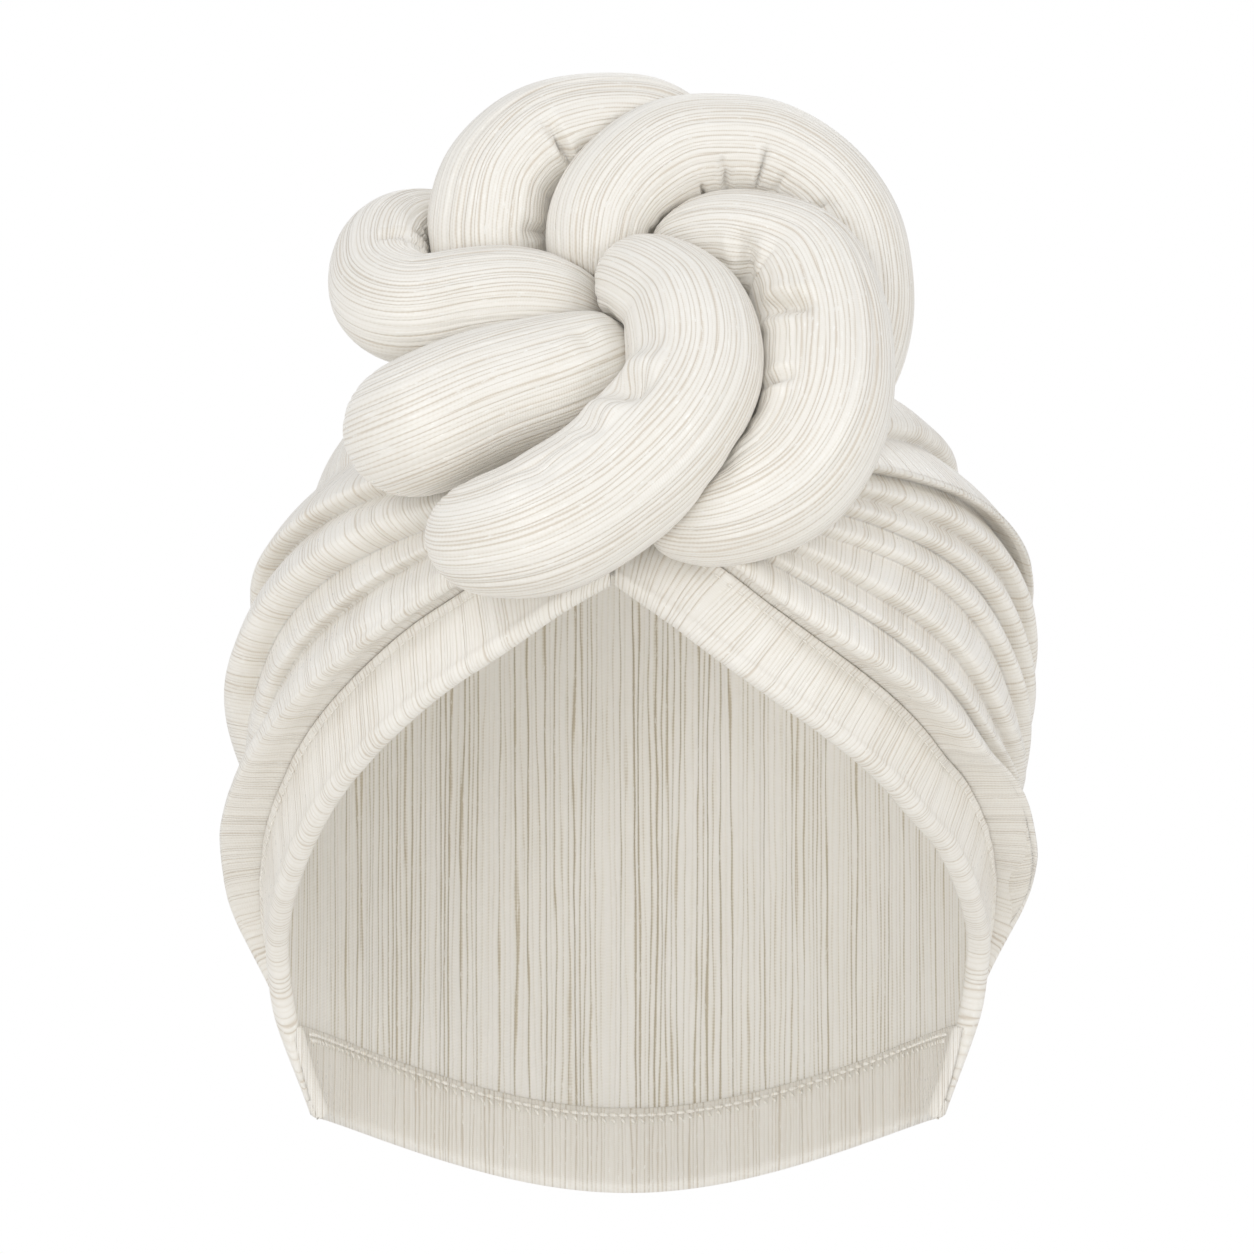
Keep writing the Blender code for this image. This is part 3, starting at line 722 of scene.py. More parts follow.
def ribbed_cloth(name, ridge, middle, valley, pitch, relief, glint, roughness):
    """Crinkled crepe with a satin yarn: flat ribs, thin uneven grooves with painted shade, soft streaks
    of painted shade, cross threads, and flecks with a painted glint.
    """
    material = bpy.data.materials.new(name)
    material.use_nodes = True
    tree = material.node_tree
    tree.nodes.clear()
    ribs = add(tree, "ShaderNodeUVMap", uv_map="ribs")
    count = add(tree, "ShaderNodeVectorMath", {0: ribs.outputs[0]},
                {1: (1 / pitch, 1 / pitch, 1.0)}, operation="MULTIPLY")
    parts = add(tree, "ShaderNodeSeparateXYZ", {0: count.outputs[0]})

    # Noise along the ribs: a slow wander, wide soft streaks of painted shade from the pleating, and
    # short flecks with a painted glint
    noises = {}
    for purpose, stretch, detail, rough in (("wander", (0.30, 0.014, 1.0), 3.0, 0.6),
                                            ("pleat_shade_streak", (0.16, 0.022, 1.0), 4.0, 0.65),
                                            ("fleck_glint", (2.2, 0.45, 1.0), 2.0, 0.6)):
        drawn = add(tree, "ShaderNodeVectorMath", {0: count.outputs[0]}, {1: stretch},
                    operation="MULTIPLY")
        noises[purpose] = add(tree, "ShaderNodeTexNoise", {"Vector": drawn.outputs[0]},
                              {"Scale": 1.0, "Detail": detail, "Roughness": rough},
                              noise_dimensions="2D")

    # The ribs differ in width and wander sideways, so the cloth looks crinkled and not ruled
    place = add(tree, "ShaderNodeMath", {0: noises["wander"].outputs[0], 2: parts.outputs[0]},
                {1: 2.4}, operation="MULTIPLY_ADD")

    # A flat rib with a thin groove on each side, every groove with a depth and a painted shade of its
    # own
    turn = add(tree, "ShaderNodeMath", {0: place.outputs[0]}, {1: math.pi}, operation="MULTIPLY")
    sine = add(tree, "ShaderNodeMath", {0: turn.outputs[0]}, operation="SINE")
    hump = add(tree, "ShaderNodeMath", {0: sine.outputs[0]}, operation="ABSOLUTE")
    rib = add(tree, "ShaderNodeMath", {0: hump.outputs[0]}, {1: 0.7}, operation="POWER")
    gap = add(tree, "ShaderNodeMath", {1: rib.outputs[0]}, {0: 1.0}, operation="SUBTRACT")
    which = add(tree, "ShaderNodeMath", {0: place.outputs[0]}, operation="ROUND")
    depth = add(tree, "ShaderNodeTexWhiteNoise", {"W": which.outputs[0]}, noise_dimensions="1D")
    share = add(tree, "ShaderNodeMath", {0: depth.outputs[0]}, {1: 0.65, 2: 0.30},
                operation="MULTIPLY_ADD")
    groove = add(tree, "ShaderNodeMath", {0: gap.outputs[0], 1: share.outputs[0]},
                 operation="MULTIPLY")

    # Cross threads, drawn twice as coarse as real ones so that they still show
    stagger = add(tree, "ShaderNodeMath", {0: which.outputs[0]}, {1: 2.4}, operation="MULTIPLY")
    pick = add(tree, "ShaderNodeMath", {0: parts.outputs[1], 2: stagger.outputs[0]},
               {1: 12.0}, operation="MULTIPLY_ADD")
    threads = add(tree, "ShaderNodeMath", {0: pick.outputs[0]}, operation="SINE")

    # Flecks of the shiny yarn: smoother, and whitened in colour as a painted glint
    bright = add(tree, "ShaderNodeMapRange", {"Value": noises["fleck_glint"].outputs[0]},
                 {"From Min": 0.62, "From Max": 0.76, "To Max": glint})

    # Streaks, threads and grooves give both the height of the cloth and its colour, which the grooves
    # and streaks darken as painted shade
    soft = add(tree, "ShaderNodeMath", {0: noises["pleat_shade_streak"].outputs[0]}, {1: 0.55, 2: 0.33},
               operation="MULTIPLY_ADD")
    threads_and_streak_shade = add(tree, "ShaderNodeMath", {0: threads.outputs[0], 2: soft.outputs[0]},
                {1: 0.05}, operation="MULTIPLY_ADD")
    relief_and_shade = add(tree, "ShaderNodeMath", {0: threads_and_streak_shade.outputs[0], 1: groove.outputs[0]},
               operation="SUBTRACT")
    shade_ramp = add(tree, "ShaderNodeValToRGB", {"Fac": relief_and_shade.outputs[0]})
    # The valley and middle colours are painted shade, darker than the ridge colour
    shade_ramp.color_ramp.elements[0].position = 0.0
    shade_ramp.color_ramp.elements[0].color = linear(valley)
    shade_ramp.color_ramp.elements[1].position = 0.62
    shade_ramp.color_ramp.elements[1].color = linear(ridge)
    between = shade_ramp.color_ramp.elements.new(0.35)
    between.color = linear(middle)
    # Painted glint: the flecks whiten the colour toward #FFFEFA
    colour = add(tree, "ShaderNodeMix", {"Factor": bright.outputs[0], 6: shade_ramp.outputs[0]},
                 {7: linear("#FFFEFA")}, data_type="RGBA")

    # The flecks are smoother than the rest, and the shine is drawn out along the ribs
    bump = add(tree, "ShaderNodeBump", {"Height": relief_and_shade.outputs[0]},
               {"Strength": 1.0, "Distance": relief})
    gloss = add(tree, "ShaderNodeMath", {0: bright.outputs[0]}, {1: -0.3, 2: roughness},
                operation="MULTIPLY_ADD")
    grain = add(tree, "ShaderNodeTangent", direction_type="UV_MAP", uv_map="ribs")
    shader = add(tree, "ShaderNodeBsdfPrincipled",
                 {"Base Color": colour.outputs[2], "Roughness": gloss.outputs[0],
                  "Normal": bump.outputs[0], "Tangent": grain.outputs[0]},
                 {"IOR": 1.5, "Anisotropic": 0.5, "Sheen Weight": 0.15, "Sheen Roughness": 0.5})
    add(tree, "ShaderNodeOutputMaterial", {0: shader.outputs[0]})
    return material


def outer_cloth():
    """Satin side of the crepe: near white, with a soft lustre that runs along the folds."""
    settings = bpy.context.scene.turban_cloth
    name = "satin_rib_crepe"
    # Painted shade: the middle #F0ECE4 and valley #DED5C8 are darker than the ridge #F6F3ED in the
    # grooves and streaks
    return bpy.data.materials.get(name) or ribbed_cloth(
        name, "#F6F3ED", "#F0ECE4", "#DED5C8", settings.rib_pitch, 0.15 * MM, 0.9, 0.38)


def inner_cloth():
    """Wrong side of the crepe: duller, with wider ribs; its near-white ridges are painted light that
    lifts the dim inside, and its darker grooves and streaks are painted shade.
    """
    name = "matt_rib_crepe_wrong_side"
    # Painted light and shade: ridges #FFFDF9 brighter than the outer cloth's, valleys #D2C7B3 darker
    return bpy.data.materials.get(name) or ribbed_cloth(
        name, "#FFFDF9", "#FAF7F0", "#D2C7B3", 1.55 * MM, 0.28 * MM, 0.6, 0.50)


def sewing_thread():
    """Mercerised thread: smooth and a little brighter than the cloth, so the stitches stand out."""
    name = "mercerised_cotton_thread"
    # Painted shade: the valley #EFE8DA darkens the thread's fine grooves
    return bpy.data.materials.get(name) or ribbed_cloth(
        name, "#FFFDF8", "#FCF8F0", "#EFE8DA", 0.5 * MM, 0.04 * MM, 0.3, 0.4)


class TurbanCloth(bpy.types.PropertyGroup):
    rib_pitch: bpy.props.FloatProperty(
        name="Rib pitch", description="Distance from one rib to the next on the outer cloth",
        default=1.15 * MM, min=0.4 * MM, unit="LENGTH", precision=4)
    rib_relief: bpy.props.FloatProperty(
        name="Lump height", description="Height of the soft lumps of the stuffing",
        default=0.6 * MM, min=0.0, unit="LENGTH", precision=4)


class TurbanStage(bpy.types.PropertyGroup):
    distance: bpy.props.FloatProperty(
        name="Camera distance", description="From the camera to the middle of the hat",
        default=4.0, unit="LENGTH")
    view_size: bpy.props.FloatProperty(
        name="View size", description="Width of the view at the middle of the hat",
        default=0.3072, unit="LENGTH")
    drop: bpy.props.FloatProperty(
        name="Floor drop", description="Floor below the crown of the head",
        default=0.42, unit="LENGTH")
    light: bpy.props.FloatProperty(
        name="Key light", description="Power of the soft key light in watts",
        default=6.5, subtype="POWER")


def upright_ribs(points):
    """Place across the ribs that keeps them upright from the front and even round the panel."""
    return RIBS_ROUND * np.arcsin(np.clip(points[..., 0] / RIBS_HALF, -1.0, 1.0))


def corner_bearing():
    """Bearing of the cap's edge at the right lower corner."""
    corner = in_from_edge(1, np.ones(1), np.full(1, CAP_EDGE_BACK))[0]
    return math.degrees(math.atan2(corner[0], -corner[1]))


class TURBAN_OT_cap(bpy.types.Operator):
    """Makes the hollow cap with its ribbed back panel"""
    bl_idname = "turban.cap"
    bl_label = "Cap and back panel"

    def execute(self, context):
        columns_back = 150
        columns_face = 90
        rows = 90
        share = np.linspace(1.0, 0.0, columns_face)
        left = in_from_edge(-1, share[1:], np.full(columns_face - 1, CAP_EDGE_BACK))
        right = in_from_edge(1, share[::-1][:-1], np.full(columns_face - 1, CAP_EDGE_BACK))
        first = corner_bearing()
        bearing = np.linspace(first, 360 - first, columns_back)
        bearings = [bearing]
        elevations = [elevation_at(hem_z(bearing))]
        for part in (left, right):
            bearings.append(np.degrees(np.arctan2(part[:, 0], -part[:, 1])) + 360)
            elevations.append(np.degrees(np.arcsin(part[:, 2])))
        bearing = np.concatenate(bearings)
        elevation = np.concatenate(elevations)
        fall = np.linspace(CAP_TOP, 1.0, rows)[:, None]
        lift = 90 - (90 - elevation[None, :]) * fall
        points = head_points(from_bearing(np.broadcast_to(bearing, lift.shape), lift))
        ribs = np.stack([upright_ribs(points), -points[..., 2]], axis=-1)
        mesh = sheet_mesh("crown_cap_cloth", points, ribs, close_across=True)
        piece = put("crown_cap_cloth", mesh, inner_cloth(), "crown_cap")
        thicken(piece, CAP_WALL, True)
        return {"FINISHED"}


def end_bearings(up, inward):
    """Bearings where the hem's rows end at the right and left face edges, by share up the hem."""
    ends = []
    for side in (1, -1):
        share = 1 - np.clip(up, 0, 1) * (1 - HEM_END_TURN / CORNER_BEARING)
        end = in_from_edge(side, share, np.full_like(share, inward))
        ends.append(np.degrees(np.arctan2(side * end[:, 0], -end[:, 1])))
    return ends[0], 360 - ends[1]


class TURBAN_OT_hem(bpy.types.Operator):
    """Makes the strip turned up inside the lower edge"""
    bl_idname = "turban.hem"
    bl_label = "Nape hem"

    def execute(self, context):
        columns = 300
        rows = 40
        section = smooth_through(HEM_SECTION, np.linspace(0, 1, rows))
        up = section[:, 0] / HEM_WIDTH
        first, last = end_bearings(up, HEM_END_INWARD)
        share = np.linspace(0, 1, columns)
        middle = first[0] + (last[0] - first[0]) * share
        near_first = np.exp(-(middle - first[0]) / HEM_END_FADE)
        near_last = np.exp(-(last[0] - middle) / HEM_END_FADE)
        bearing = (middle[None, :] + (first - first[0])[:, None] * near_first
                   + (last - last[0])[:, None] * near_last)
        wave = lumps(HEM_LUMPS, middle[None, :], up[:, None], 0)
        height = section[:, 1:2] - wave * np.clip(up, 0, 1)[:, None]

        # Both ends go round to the face edges in a quarter turn
        for turn in np.linspace(0, math.pi / 2, HEM_END_COLUMNS + 1)[1:]:
            inward = HEM_END_INWARD - (HEM_END_INWARD + HEM_END_OUTWARD) * math.sin(turn)
            first, last = end_bearings(up, inward)
            bearing = np.concatenate([first[:, None], bearing, last[:, None]], axis=1)
            closing = 1 - math.cos(turn)
            edge = section[:, 1] * (1 - closing) + HEM_END_HEIGHT * closing
            height = np.concatenate([edge[:, None], height, edge[:, None]], axis=1)
        low = elevation_at(hem_z(bearing))
        points = cloth_points(from_bearing(bearing, low + HEM_ANGLE * up[:, None]), height)
        ribs = np.stack(np.broadcast_arrays(upright_ribs(points), up[:, None] * HEM_WIDTH), axis=-1)
        mesh = sheet_mesh("nape_hem_cloth", points, ribs)
        piece = put("nape_hem_cloth", mesh, outer_cloth(), "nape_hem")
        thicken(piece, HEM_CLOTH, True)
        return {"FINISHED"}


class TURBAN_OT_bands(bpy.types.Operator):
    """Makes the smooth bands with their rolled face edge"""
    bl_idname = "turban.bands"
    bl_label = "Edge bands"

    def execute(self, context):
        rows = 260
        around = 64
        for side, word, slope in BANDS:
            stations = np.linspace(0.0, 1.0, rows)[:, None]
            turn = np.linspace(0.0, 1.0, around + 1)[None, :-1]
            section = smooth_through(BAND_SECTION, turn[0])
            inward = np.broadcast_to(section[None, :, 0], (rows, around))
            height = np.broadcast_to(section[None, :, 1], (rows, around))
            thin = 1 - BAND_THINS_BY * ease(*BAND_THINS_OVER, stations)
            over = height - BAND_INNER_FACE
            height = np.where(over > 0, BAND_INNER_FACE + over * thin, height)
            outer = (turn > BAND_OUTER_FACE[0]) & (turn < BAND_OUTER_FACE[1])
            soft = lumps(BAND_LUMPS, stations, turn, side) * np.where(outer, 1.0, BAND_INNER_LUMPS)
            along = np.broadcast_to(stations, (rows, around))
            points = cloth_points(in_from_edge(side, along, inward), height + soft * thin)
            round_edge = np.broadcast_to(turn * BAND_ROUND, (rows, around))
            ribs = np.stack([along * BAND_LENGTH + inward * slope, round_edge], axis=-1)
            mesh = sheet_mesh(word + "_band_cloth", points, ribs, close_across=True)
            close_ends(mesh)
            piece = put(word + "_band_cloth", mesh, outer_cloth(), word + "_edge_band")
        return {"FINISHED"}


def close_ends(mesh):
    """Fills the open ends of a tube and turns its faces out."""
    bm = bmesh.new()
    bm.from_mesh(mesh)
    bmesh.ops.holes_fill(bm, edges=bm.edges, sides=0)
    bmesh.ops.recalc_face_normals(bm, faces=bm.faces)
    bm.to_mesh(mesh)
    bm.free()
    mesh.shade_smooth()


class TURBAN_OT_wraps(bpy.types.Operator):
    """Makes the pleated wraps that sweep from the knot round the sides"""
    bl_idname = "turban.wraps"
    bl_label = "Side wraps"

    def execute(self, context):
        rows = 240
        columns = 190
        for side, word, folds in ((-1, "left", LEFT_FOLDS), (1, "right", RIGHT_FOLDS)):
            places = np.concatenate([[0.0], np.linspace(FIRST_EDGE, 1, columns)])
            along, across = np.meshgrid(np.linspace(0, 1, rows), places, indexing="ij")

            # Along the seam the wrap lies level with the band, and farther up it stands off the cap
            deeper = 1 + FOLD_DEPTH * ease(*FOLD_DEEPENS_OVER, across)
            drape = fold_heights(folds, along, across) * deeper
            near_seam = 1 - ease(0.0, SEAM_WIDTH, across)
            heights = stand_off_heights(folds, along, across)
            heights = heights * (1 - near_seam) + SEAM_HEIGHT * near_seam + drape

            # Fullness beside the lower corner, and soft lumps away from the knot and the seam
            side_swell = np.exp(-((along - SIDE_ALONG) / SIDE_SPREAD[0])**2
                                - ((across - SIDE_ACROSS) / SIDE_SPREAD[1])**2)
            fullness = SIDE_FULLNESS - side * SIDE_DIFFERENCE
            heights = heights + fullness * side_swell * (1 - near_seam)
            inside = ease(*LUMPS_ALONG, along) * ease(*LUMPS_ACROSS, across)
            heights = heights + lumps(WRAP_LUMPS, along, across, side) * inside

            # The higher the cloth, the farther it leans over the valley below it
            lean = FOLD_LEAN + FIRST_FOLD_LEAN * np.exp(-across / FIRST_FOLD_WIDTH)
            lean = lean * (1 - LEAN_LOST * ease(*LEAN_LOST_OVER, along))
            overhang = np.maximum(drape * ease(-0.01, SEAM_SOFTNESS, across), 0) * lean
            leaning = across - overhang

            # The far and upper edges lie down, and the first edge tucks in beside the band
            edges = np.maximum(ease(*EDGE_ALONG, along), ease(*EDGE_ACROSS, across))
            heights = heights - EDGE_DROP * edges
            heights[:, 0] = SEAM_TUCK
            points = cloth_points(wrap_directions(side, along, swept(along, leaning)), heights)
            waves = lumps(WRAP_RIB_WAVES, along, across, side)
            ribs = np.stack([along * WRAP_LENGTH + across * RIB_SLANT + waves,
                             across * WRAP_WIDTH], axis=-1)
            mesh = sheet_mesh(word + "_wrap_cloth", points, ribs)
            piece = put(word + "_wrap_cloth", mesh, outer_cloth(), word + "_wrap")
            thicken(piece, WRAP_CLOTH, False)
        return {"FINISHED"}


def roll_line(table, step):
    """Points along a roll's middle line, each with its radius."""
    table = np.array(table, float)
    spots = np.stack([table[:, 0], KNOT_Y + (table[:, 1] - KNOT_Z) * math.tan(KNOT_LEAN) - table[:, 2],
                      table[:, 1], table[:, 3]], axis=1)
    run = np.concatenate([[0], np.cumsum(np.linalg.norm(np.diff(spots[:, :3], axis=0), axis=1))])
    rows = np.concatenate([run[:, None], spots], axis=1)
    count = max(2, round(run[-1] / step))
    return smooth_through(rows, np.linspace(0, run[-1], count + 1)), run[-1]


def roll_frames(line):
    """Directions to the front and to the bend's inner side, carried along without twist."""
    tangents = unit(np.gradient(line[:, :3], axis=0))
    count = len(line)
    fronts = np.zeros((count, 3))
    start = count // 2
    front = np.array([0.0, -1.0, 0.0])
    fronts[start] = unit(front - tangents[start] * (front @ tangents[start]))
    for order in (range(start + 1, count), range(start - 1, -1, -1)):
        last = fronts[start]
        for i in order:
            last = unit(last - tangents[i] * (last @ tangents[i]))
            fronts[i] = last
    return fronts, np.cross(tangents, fronts)


def press(core, rays, reach, own_radius, others, gap):
    """Shortens rays from a roll's middle line to where its neighbours press as hard as it does."""
    low = np.zeros_like(reach)
    high = reach.copy()
    for _ in range(PRESS_HALVINGS):
        middle = (low + high) / 2
        trial = core + rays * middle[..., None]
        room = np.full(reach.shape, np.inf)
        for other in others:
            flat = trial.reshape(-1, 3)
            away = flat[:, None, :] - other[None, :, :3]
            near = np.sqrt((away * away).sum(-1)) - other[None, :, 3]
            room = np.minimum(room, near.min(1).reshape(reach.shape))
        free = room - (middle - own_radius) >= gap
        low = np.where(free, middle, low)
        high = np.where(free, high, middle)
    return np.where(high < reach - 0.02, low, reach)


def soften(reach, times):
    """Rounds off the edges of pressed flats on a roll, round it and along it."""
    for _ in range(times):
        ring = (np.roll(reach, 1, axis=1) + np.roll(reach, -1, axis=1)) / 2
        padded = np.concatenate([reach[:1], reach, reach[-1:]])
        run = (padded[:-2] + padded[2:]) / 2
        reach = reach * 0.4 + ring * 0.3 + run * 0.3
    return reach


def finer(values, rows, columns):
    """A closed ring of columns by rows of values, read at more places."""
    wide = np.concatenate([values, values[:, :1]], axis=1)
    at = np.linspace(0, wide.shape[1] - 1, columns, endpoint=False)
    here = np.floor(at).astype(int)
    part = at - here
    wide = wide[:, here] * (1 - part) + wide[:, here + 1] * part
    at = np.linspace(0, len(wide) - 1, rows)
    here = np.minimum(np.floor(at).astype(int), len(wide) - 2)
    part = (at - here)[:, None]
    return wide[here] * (1 - part) + wide[here + 1] * part


def seated(core, rays, reach, body):
    """Keeps a roll clear of the wraps and bands that it lies on."""
    flat = reach.reshape(-1).copy()
    starts = core.reshape(-1, 3) * MM
    ways = rays.reshape(-1, 3)
    for i in range(len(flat)):
        hit = body.ray_cast(Vector(starts[i]), Vector(ways[i]), (flat[i] + SEAT_SEARCH) * MM)
        if hit[0] is not None:
            flat[i] = max(THINNEST_ROLL, hit[3] / MM - SEAT_CLEAR)
    return flat.reshape(reach.shape)


def grooves(angle, run, seed):
    """Deeper grooves among the ribs, at uneven places round a roll, wavering a little."""
    rng = np.random.default_rng(seed)
    total = np.zeros(np.broadcast(angle, run).shape)
    for _ in range(GROOVE_COUNT):
        place = rng.uniform(0, 2 * math.pi)
        depth = rng.uniform(*GROOVE_DEPTH)
        sway = rng.uniform(*GROOVE_SWAY)
        phase = rng.uniform(0, 2 * math.pi)
        away = angle - place - sway * np.sin(run / GROOVE_WAVE + phase)
        away = (away + math.pi) % (2 * math.pi) - math.pi
        total = total - depth * np.exp(-(away / GROOVE_WIDTH)**2)
    return total


def creased(points, rays, run, angle, radius, name):
    """Presses the tucks and pinches of one roll into its cover."""
    shift = np.zeros(points.shape[:2])
    facing = rays[..., 1] < SEEN_FROM_FRONT
    for x, z, length, width, depth, slant in CREASES[name]:
        off = np.hypot(points[..., 0] - x, points[..., 2] - z) + np.where(facing, 0, HIDDEN)
        i, j = np.unravel_index(np.argmin(off), off.shape)
        ring = (angle[None, :] - angle[j] + math.pi) % (2 * math.pi) - math.pi
        across = ring * radius
        along = (run - run[i, 0]) * np.ones_like(across)
        lean = math.radians(slant)
        a = along * math.cos(lean) - across * math.sin(lean)
        b = along * math.sin(lean) + across * math.cos(lean)
        window = np.exp(-(b / length)**4)
        shift = shift - CREASE_DEPTH * depth * np.exp(-(a / width)**2) * window
        lips = np.exp(-((np.abs(a) - CREASE_LIPS_AT * width) / width)**2)
        shift = shift + CREASE_LIP_HEIGHT * depth * lips * window
    return shift


def body_tree():
    """Outer faces of the wraps and bands, to seat the knot on."""
    points = []
    faces = []
    for name in ("left_wrap_cloth", "right_wrap_cloth", "left_band_cloth", "right_band_cloth"):
        mesh = bpy.data.objects[name].data
        first = len(points)
        points += [vert.co.copy() for vert in mesh.vertices]
        faces += [[first + i for i in face.vertices] for face in mesh.polygons]
    return BVHTree.FromPolygons(points, faces)


def roll_rays(table, step, columns):
    """A roll's middle line and its length, the angles round it and the rays out of it."""
    line, length = roll_line(table, step)
    fronts, sides = roll_frames(line)
    angle = np.linspace(0, 2 * math.pi, columns, endpoint=False)
    rays = (fronts[:, None, :] * np.cos(angle)[None, :, None]
            + sides[:, None, :] * np.sin(angle)[None, :, None])
    core = np.broadcast_to(line[:, None, :3], rays.shape)
    return line, length, angle, rays, core


def rounded_ends(reach, line, run, length):
    """Draws a roll's two ends in to domes."""
    for away, radius in ((run, line[0, 3]), (length - run, line[-1, 3])):
        tip = radius * TIP_SHARE
        dome = 1 - (np.clip(tip - away, 0, tip) / tip)**2
        reach = reach * np.sqrt(np.clip(dome, 0.02, 1))
    return reach


class TURBAN_OT_knot(bpy.types.Operator):
    """Makes the six stuffed rolls of the knot, pressed against each other"""
    bl_idname = "turban.knot"
    bl_label = "Knot rolls"

    def execute(self, context):
        body = body_tree()
        relief = context.scene.turban_cloth.rib_relief / MM
        coarse = {name: roll_line(table, NEIGHBOUR_STEP)[0] for name, table in ROLLS.items()}
        for number, (name, table) in enumerate(ROLLS.items()):

            # Pressed by the rolls beside it and by the cloth that it lies on
            line, _, _, rays, core = roll_rays(table, PRESS_STEP, PRESS_COLUMNS)
            radius = np.broadcast_to(line[:, 3:4], rays.shape[:2])
            others = [other for key, other in coarse.items() if key != name]
            pressed = press(core, rays, radius.copy(), radius, others, ROLL_GAP)
            pressed = soften(seated(core, rays, pressed, body), PRESS_ROUNDING)

            # The cover: lumps of stuffing, puckers where it is half pressed, grooves and creases
            line, length, angle, rays, core = roll_rays(table, COVER_STEP, COVER_COLUMNS)
            reach = finer(pressed, len(line), COVER_COLUMNS)
            run = np.linspace(0, length, len(line))[:, None]
            squeeze = np.clip((line[:, 3:4] - reach) / PUCKER_DEPTH, 0, 1)
            round_it = np.sin(angle)[None, :] * ROLL_LUMP_ROUND
            reach = reach + lumps(ROLL_LUMPS, run, round_it, number) * relief
            pucker = lumps(ROLL_PUCKERS, run, round_it, number)
            reach = reach + pucker * squeeze * (1 - squeeze) * 4
            reach = reach + grooves(angle[None, :], run, GROOVE_SEED + number)
            points = core + rays * reach[..., None]
            reach = reach + creased(points, rays, run, angle, line[:, 3:4], name)
            reach = rounded_ends(reach, line, run, length)
            points = core + rays * reach[..., None]
            ribs = np.stack(np.broadcast_arrays(
                angle[None, :] * ROLL_ROUND + run * ROLL_RIB_TWIST, run), axis=-1)
            mesh = sheet_mesh(name + "_cover", points, ribs, close_across=True)
            close_ends(mesh)
            piece = put(name + "_cover", mesh, outer_cloth(), name)
        return {"FINISHED"}


def stitch_row(name, spots, ups, normals, length, width, slant):
    """A row of small raised stitches laid along spots in millimetres, as one mesh."""
    verts = []
    faces = []
    for spot, up, normal in zip(spots, ups, normals):
        across = np.cross(up, normal)
        lay = unit(up * slant + across * (1 - abs(slant)))
        other = np.cross(lay, normal)
        first = len(verts)
        for i in range(STITCH_RINGS):
            t = i / (STITCH_RINGS - 1) * 2 - 1
            thick = width / 2 * math.sqrt(max(STITCH_TIP, 1 - t * t))
            rise = STITCH_RISE * width * (1 - t * t)
            for j in range(STITCH_SIDES):
                a = 2 * math.pi * j / STITCH_SIDES
                verts.append((spot + lay * t * length / 2 + other * thick * math.cos(a)
                              + normal * (rise + thick * STITCH_FLATNESS * math.sin(a))) * MM)
        for i in range(STITCH_RINGS - 1):
            ring = first + i * STITCH_SIDES
            for j in range(STITCH_SIDES):
                k = (j + 1) % STITCH_SIDES
                faces.append([ring + j, ring + k, ring + STITCH_SIDES + k, ring + STITCH_SIDES + j])
        end = first + (STITCH_RINGS - 1) * STITCH_SIDES
        faces.append([first + j for j in reversed(range(STITCH_SIDES))])
        faces.append([end + j for j in range(STITCH_SIDES)])
    mesh = bpy.data.meshes.new(name)
    mesh.from_pydata([tuple(v) for v in verts], [], faces)
    layer = mesh.uv_layers.new(name="ribs")
    coords = np.array([mesh.vertices[loop.vertex_index].co[:] for loop in mesh.loops])
    layer.data.foreach_set("uv", (coords[:, [0, 2]]).astype(np.float32).ravel())
    mesh.shade_smooth()
    return mesh


class TURBAN_OT_stitches(bpy.types.Operator):
    """Sews the row of stitches over the hem and along the two face seams"""
    bl_idname = "turban.stitches"
    bl_label = "Stitches"

    def execute(self, context):
        first = corner_bearing() - HEM_STITCH_START
        for row, above, length, width, slant in HEM_STITCH_ROWS:
            bearing = np.linspace(first, 360 - first, HEM_STITCH_COUNT)
            base = head_points(from_bearing(bearing, elevation_at(hem_z(bearing)) + above))
            inward = -head_normals(base)
            spots = base + inward * HEM_STITCH_HEIGHT
            ahead = unit(np.gradient(spots, axis=0))
            mesh = stitch_row(row, spots, ahead, inward, length, width, slant)
            put(row, mesh, sewing_thread(), None)
        for side, word in ((-1, "left"), (1, "right")):
            share = np.linspace(*SEAM_STITCH_SPAN, SEAM_STITCH_COUNT)
            inward = np.full(SEAM_STITCH_COUNT, SEAM_STITCH_INWARD)
            base = head_points(in_from_edge(side, share, inward))
            normals = head_normals(base)
            spots = base + normals * SEAM_STITCH_HEIGHT
            ahead = unit(np.gradient(spots, axis=0))
            mesh = stitch_row(word + "_seam_stitches", spots, ahead, normals,
                              SEAM_STITCH_LENGTH, SEAM_STITCH_WIDTH, SEAM_STITCH_SLANT)
            put(word + "_seam_stitches", mesh, sewing_thread())
        return {"FINISHED"}


def light(name, kind, place, target, power, settings):
    """Adds a light that looks at a target."""
    data = bpy.data.lights.new(name, kind)
    data.energy = power
    for key, value in settings.items():
        setattr(data, key, value)
    lamp = bpy.data.objects.new(name, data)
    lamp.location = place
    lamp.rotation_euler = (Vector(target) - Vector(place)).to_track_quat("-Z", "Y").to_euler()
    bpy.context.scene.collection.objects.link(lamp)


def white_paper():
    """Matt white paper scatters the light evenly, so the floor has no glare."""
    paper = bpy.data.materials.new("matt_white_paper")
    paper.use_nodes = True
    shader = paper.node_tree.nodes["Principled BSDF"]
    shader.inputs["Base Color"].default_value = linear("#F4F2EE")
    shader.inputs["Roughness"].default_value = 0.9
    return paper


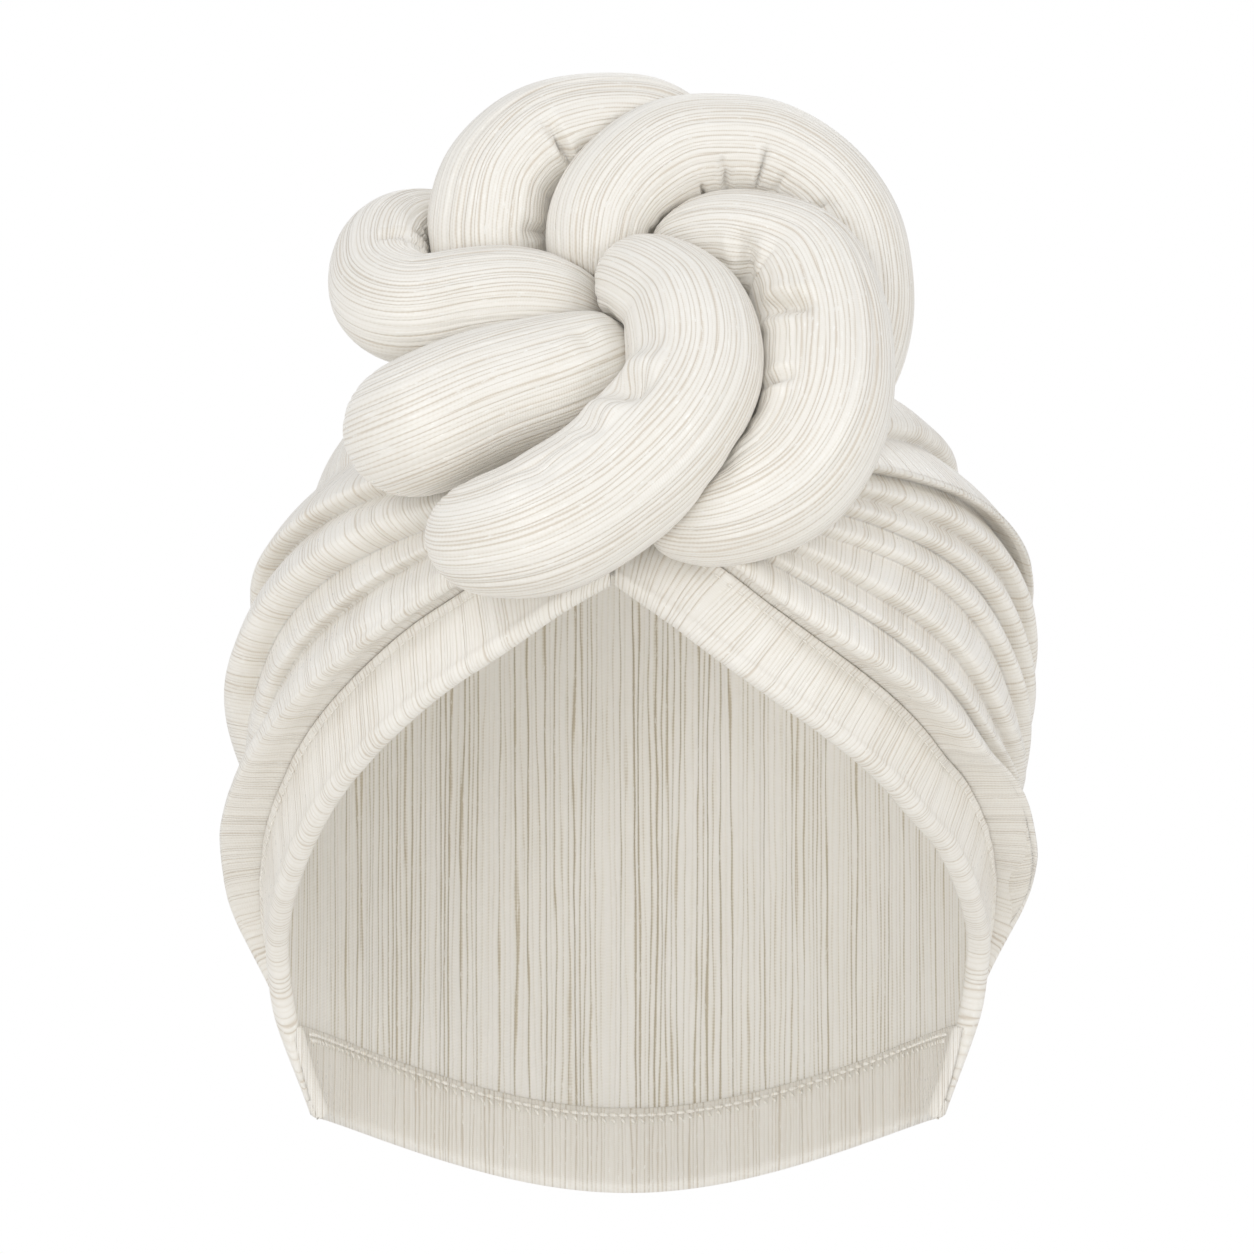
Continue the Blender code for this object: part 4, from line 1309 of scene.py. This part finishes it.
class TURBAN_OT_stage(bpy.types.Operator):
    """Sets the pale floor, the soft light and the camera"""
    bl_idname = "turban.stage"
    bl_label = "Stage, light and camera"

    def execute(self, context):
        scene = context.scene
        settings = scene.turban_stage
        bpy.ops.mesh.primitive_circle_add(vertices=96, radius=3.0, fill_type="NGON",
                                          location=(0, 0, -settings.drop))
        floor = context.active_object
        floor.name = "floor"
        floor.data.materials.append(white_paper())
        camera = bpy.data.cameras.new("camera")
        camera.sensor_width = SENSOR_WIDTH
        camera.lens = SENSOR_WIDTH * settings.distance / settings.view_size
        camera.clip_end = 50.0
        holder = bpy.data.objects.new("camera", camera)
        holder.location = (HAT_MIDDLE[0], HAT_MIDDLE[1] - settings.distance, HAT_MIDDLE[2])
        holder.rotation_euler = (math.radians(90), 0, 0)
        scene.collection.objects.link(holder)
        scene.camera = holder
        for name, kind, place, target, share, details in LIGHTS:
            light(name, kind, place, target, settings.light * share, details)

        # The hat gets a little less of the white room than the camera sees behind it
        world = bpy.data.worlds.new("studio")
        world.use_nodes = True
        tree = world.node_tree
        tree.nodes.clear()
        path = add(tree, "ShaderNodeLightPath")
        dim = add(tree, "ShaderNodeBackground", (), {"Color": (1, 1, 1, 1), "Strength": 0.72})
        bright = add(tree, "ShaderNodeBackground", (), {"Color": (1, 1, 1, 1), "Strength": 1.0})
        mixed = add(tree, "ShaderNodeMixShader", {0: path.outputs["Is Camera Ray"],
                                                  1: dim.outputs[0], 2: bright.outputs[0]})
        add(tree, "ShaderNodeOutputWorld", {0: mixed.outputs[0]})
        scene.world = world
        scene.view_settings.view_transform = "Standard"
        return {"FINISHED"}


class TURBAN_PT_panel(bpy.types.Panel):
    """Lists the hat's sizes and the steps that build it"""
    bl_idname = "TURBAN_PT_panel"
    bl_label = "Knot turban hat"
    bl_space_type = "VIEW_3D"
    bl_region_type = "UI"
    bl_category = "Turban"

    def draw(self, context):
        layout = self.layout
        for group in (context.scene.turban_cloth, context.scene.turban_stage):
            for key in group.bl_rna.properties.keys():
                if key not in ("rna_type", "name"):
                    layout.prop(group, key)
        for operator in OPERATORS:
            layout.operator(operator.bl_idname)


OPERATORS = (TURBAN_OT_cap, TURBAN_OT_hem, TURBAN_OT_bands, TURBAN_OT_wraps, TURBAN_OT_knot,
             TURBAN_OT_stitches, TURBAN_OT_stage)
CLASSES = (TurbanCloth, TurbanStage) + OPERATORS + (TURBAN_PT_panel,)


def register():
    for cls in CLASSES:
        bpy.utils.register_class(cls)
    bpy.types.Scene.turban_cloth = bpy.props.PointerProperty(type=TurbanCloth)
    bpy.types.Scene.turban_stage = bpy.props.PointerProperty(type=TurbanStage)


def unregister():
    del bpy.types.Scene.turban_stage
    del bpy.types.Scene.turban_cloth
    for cls in reversed(CLASSES):
        bpy.utils.unregister_class(cls)


def main():
    register()
    bpy.ops.turban.cap()
    bpy.ops.turban.hem()
    bpy.ops.turban.bands()
    bpy.ops.turban.wraps()
    bpy.ops.turban.knot()
    bpy.ops.turban.stitches()
    bpy.ops.turban.stage()


if __name__ == "__main__":
    main()
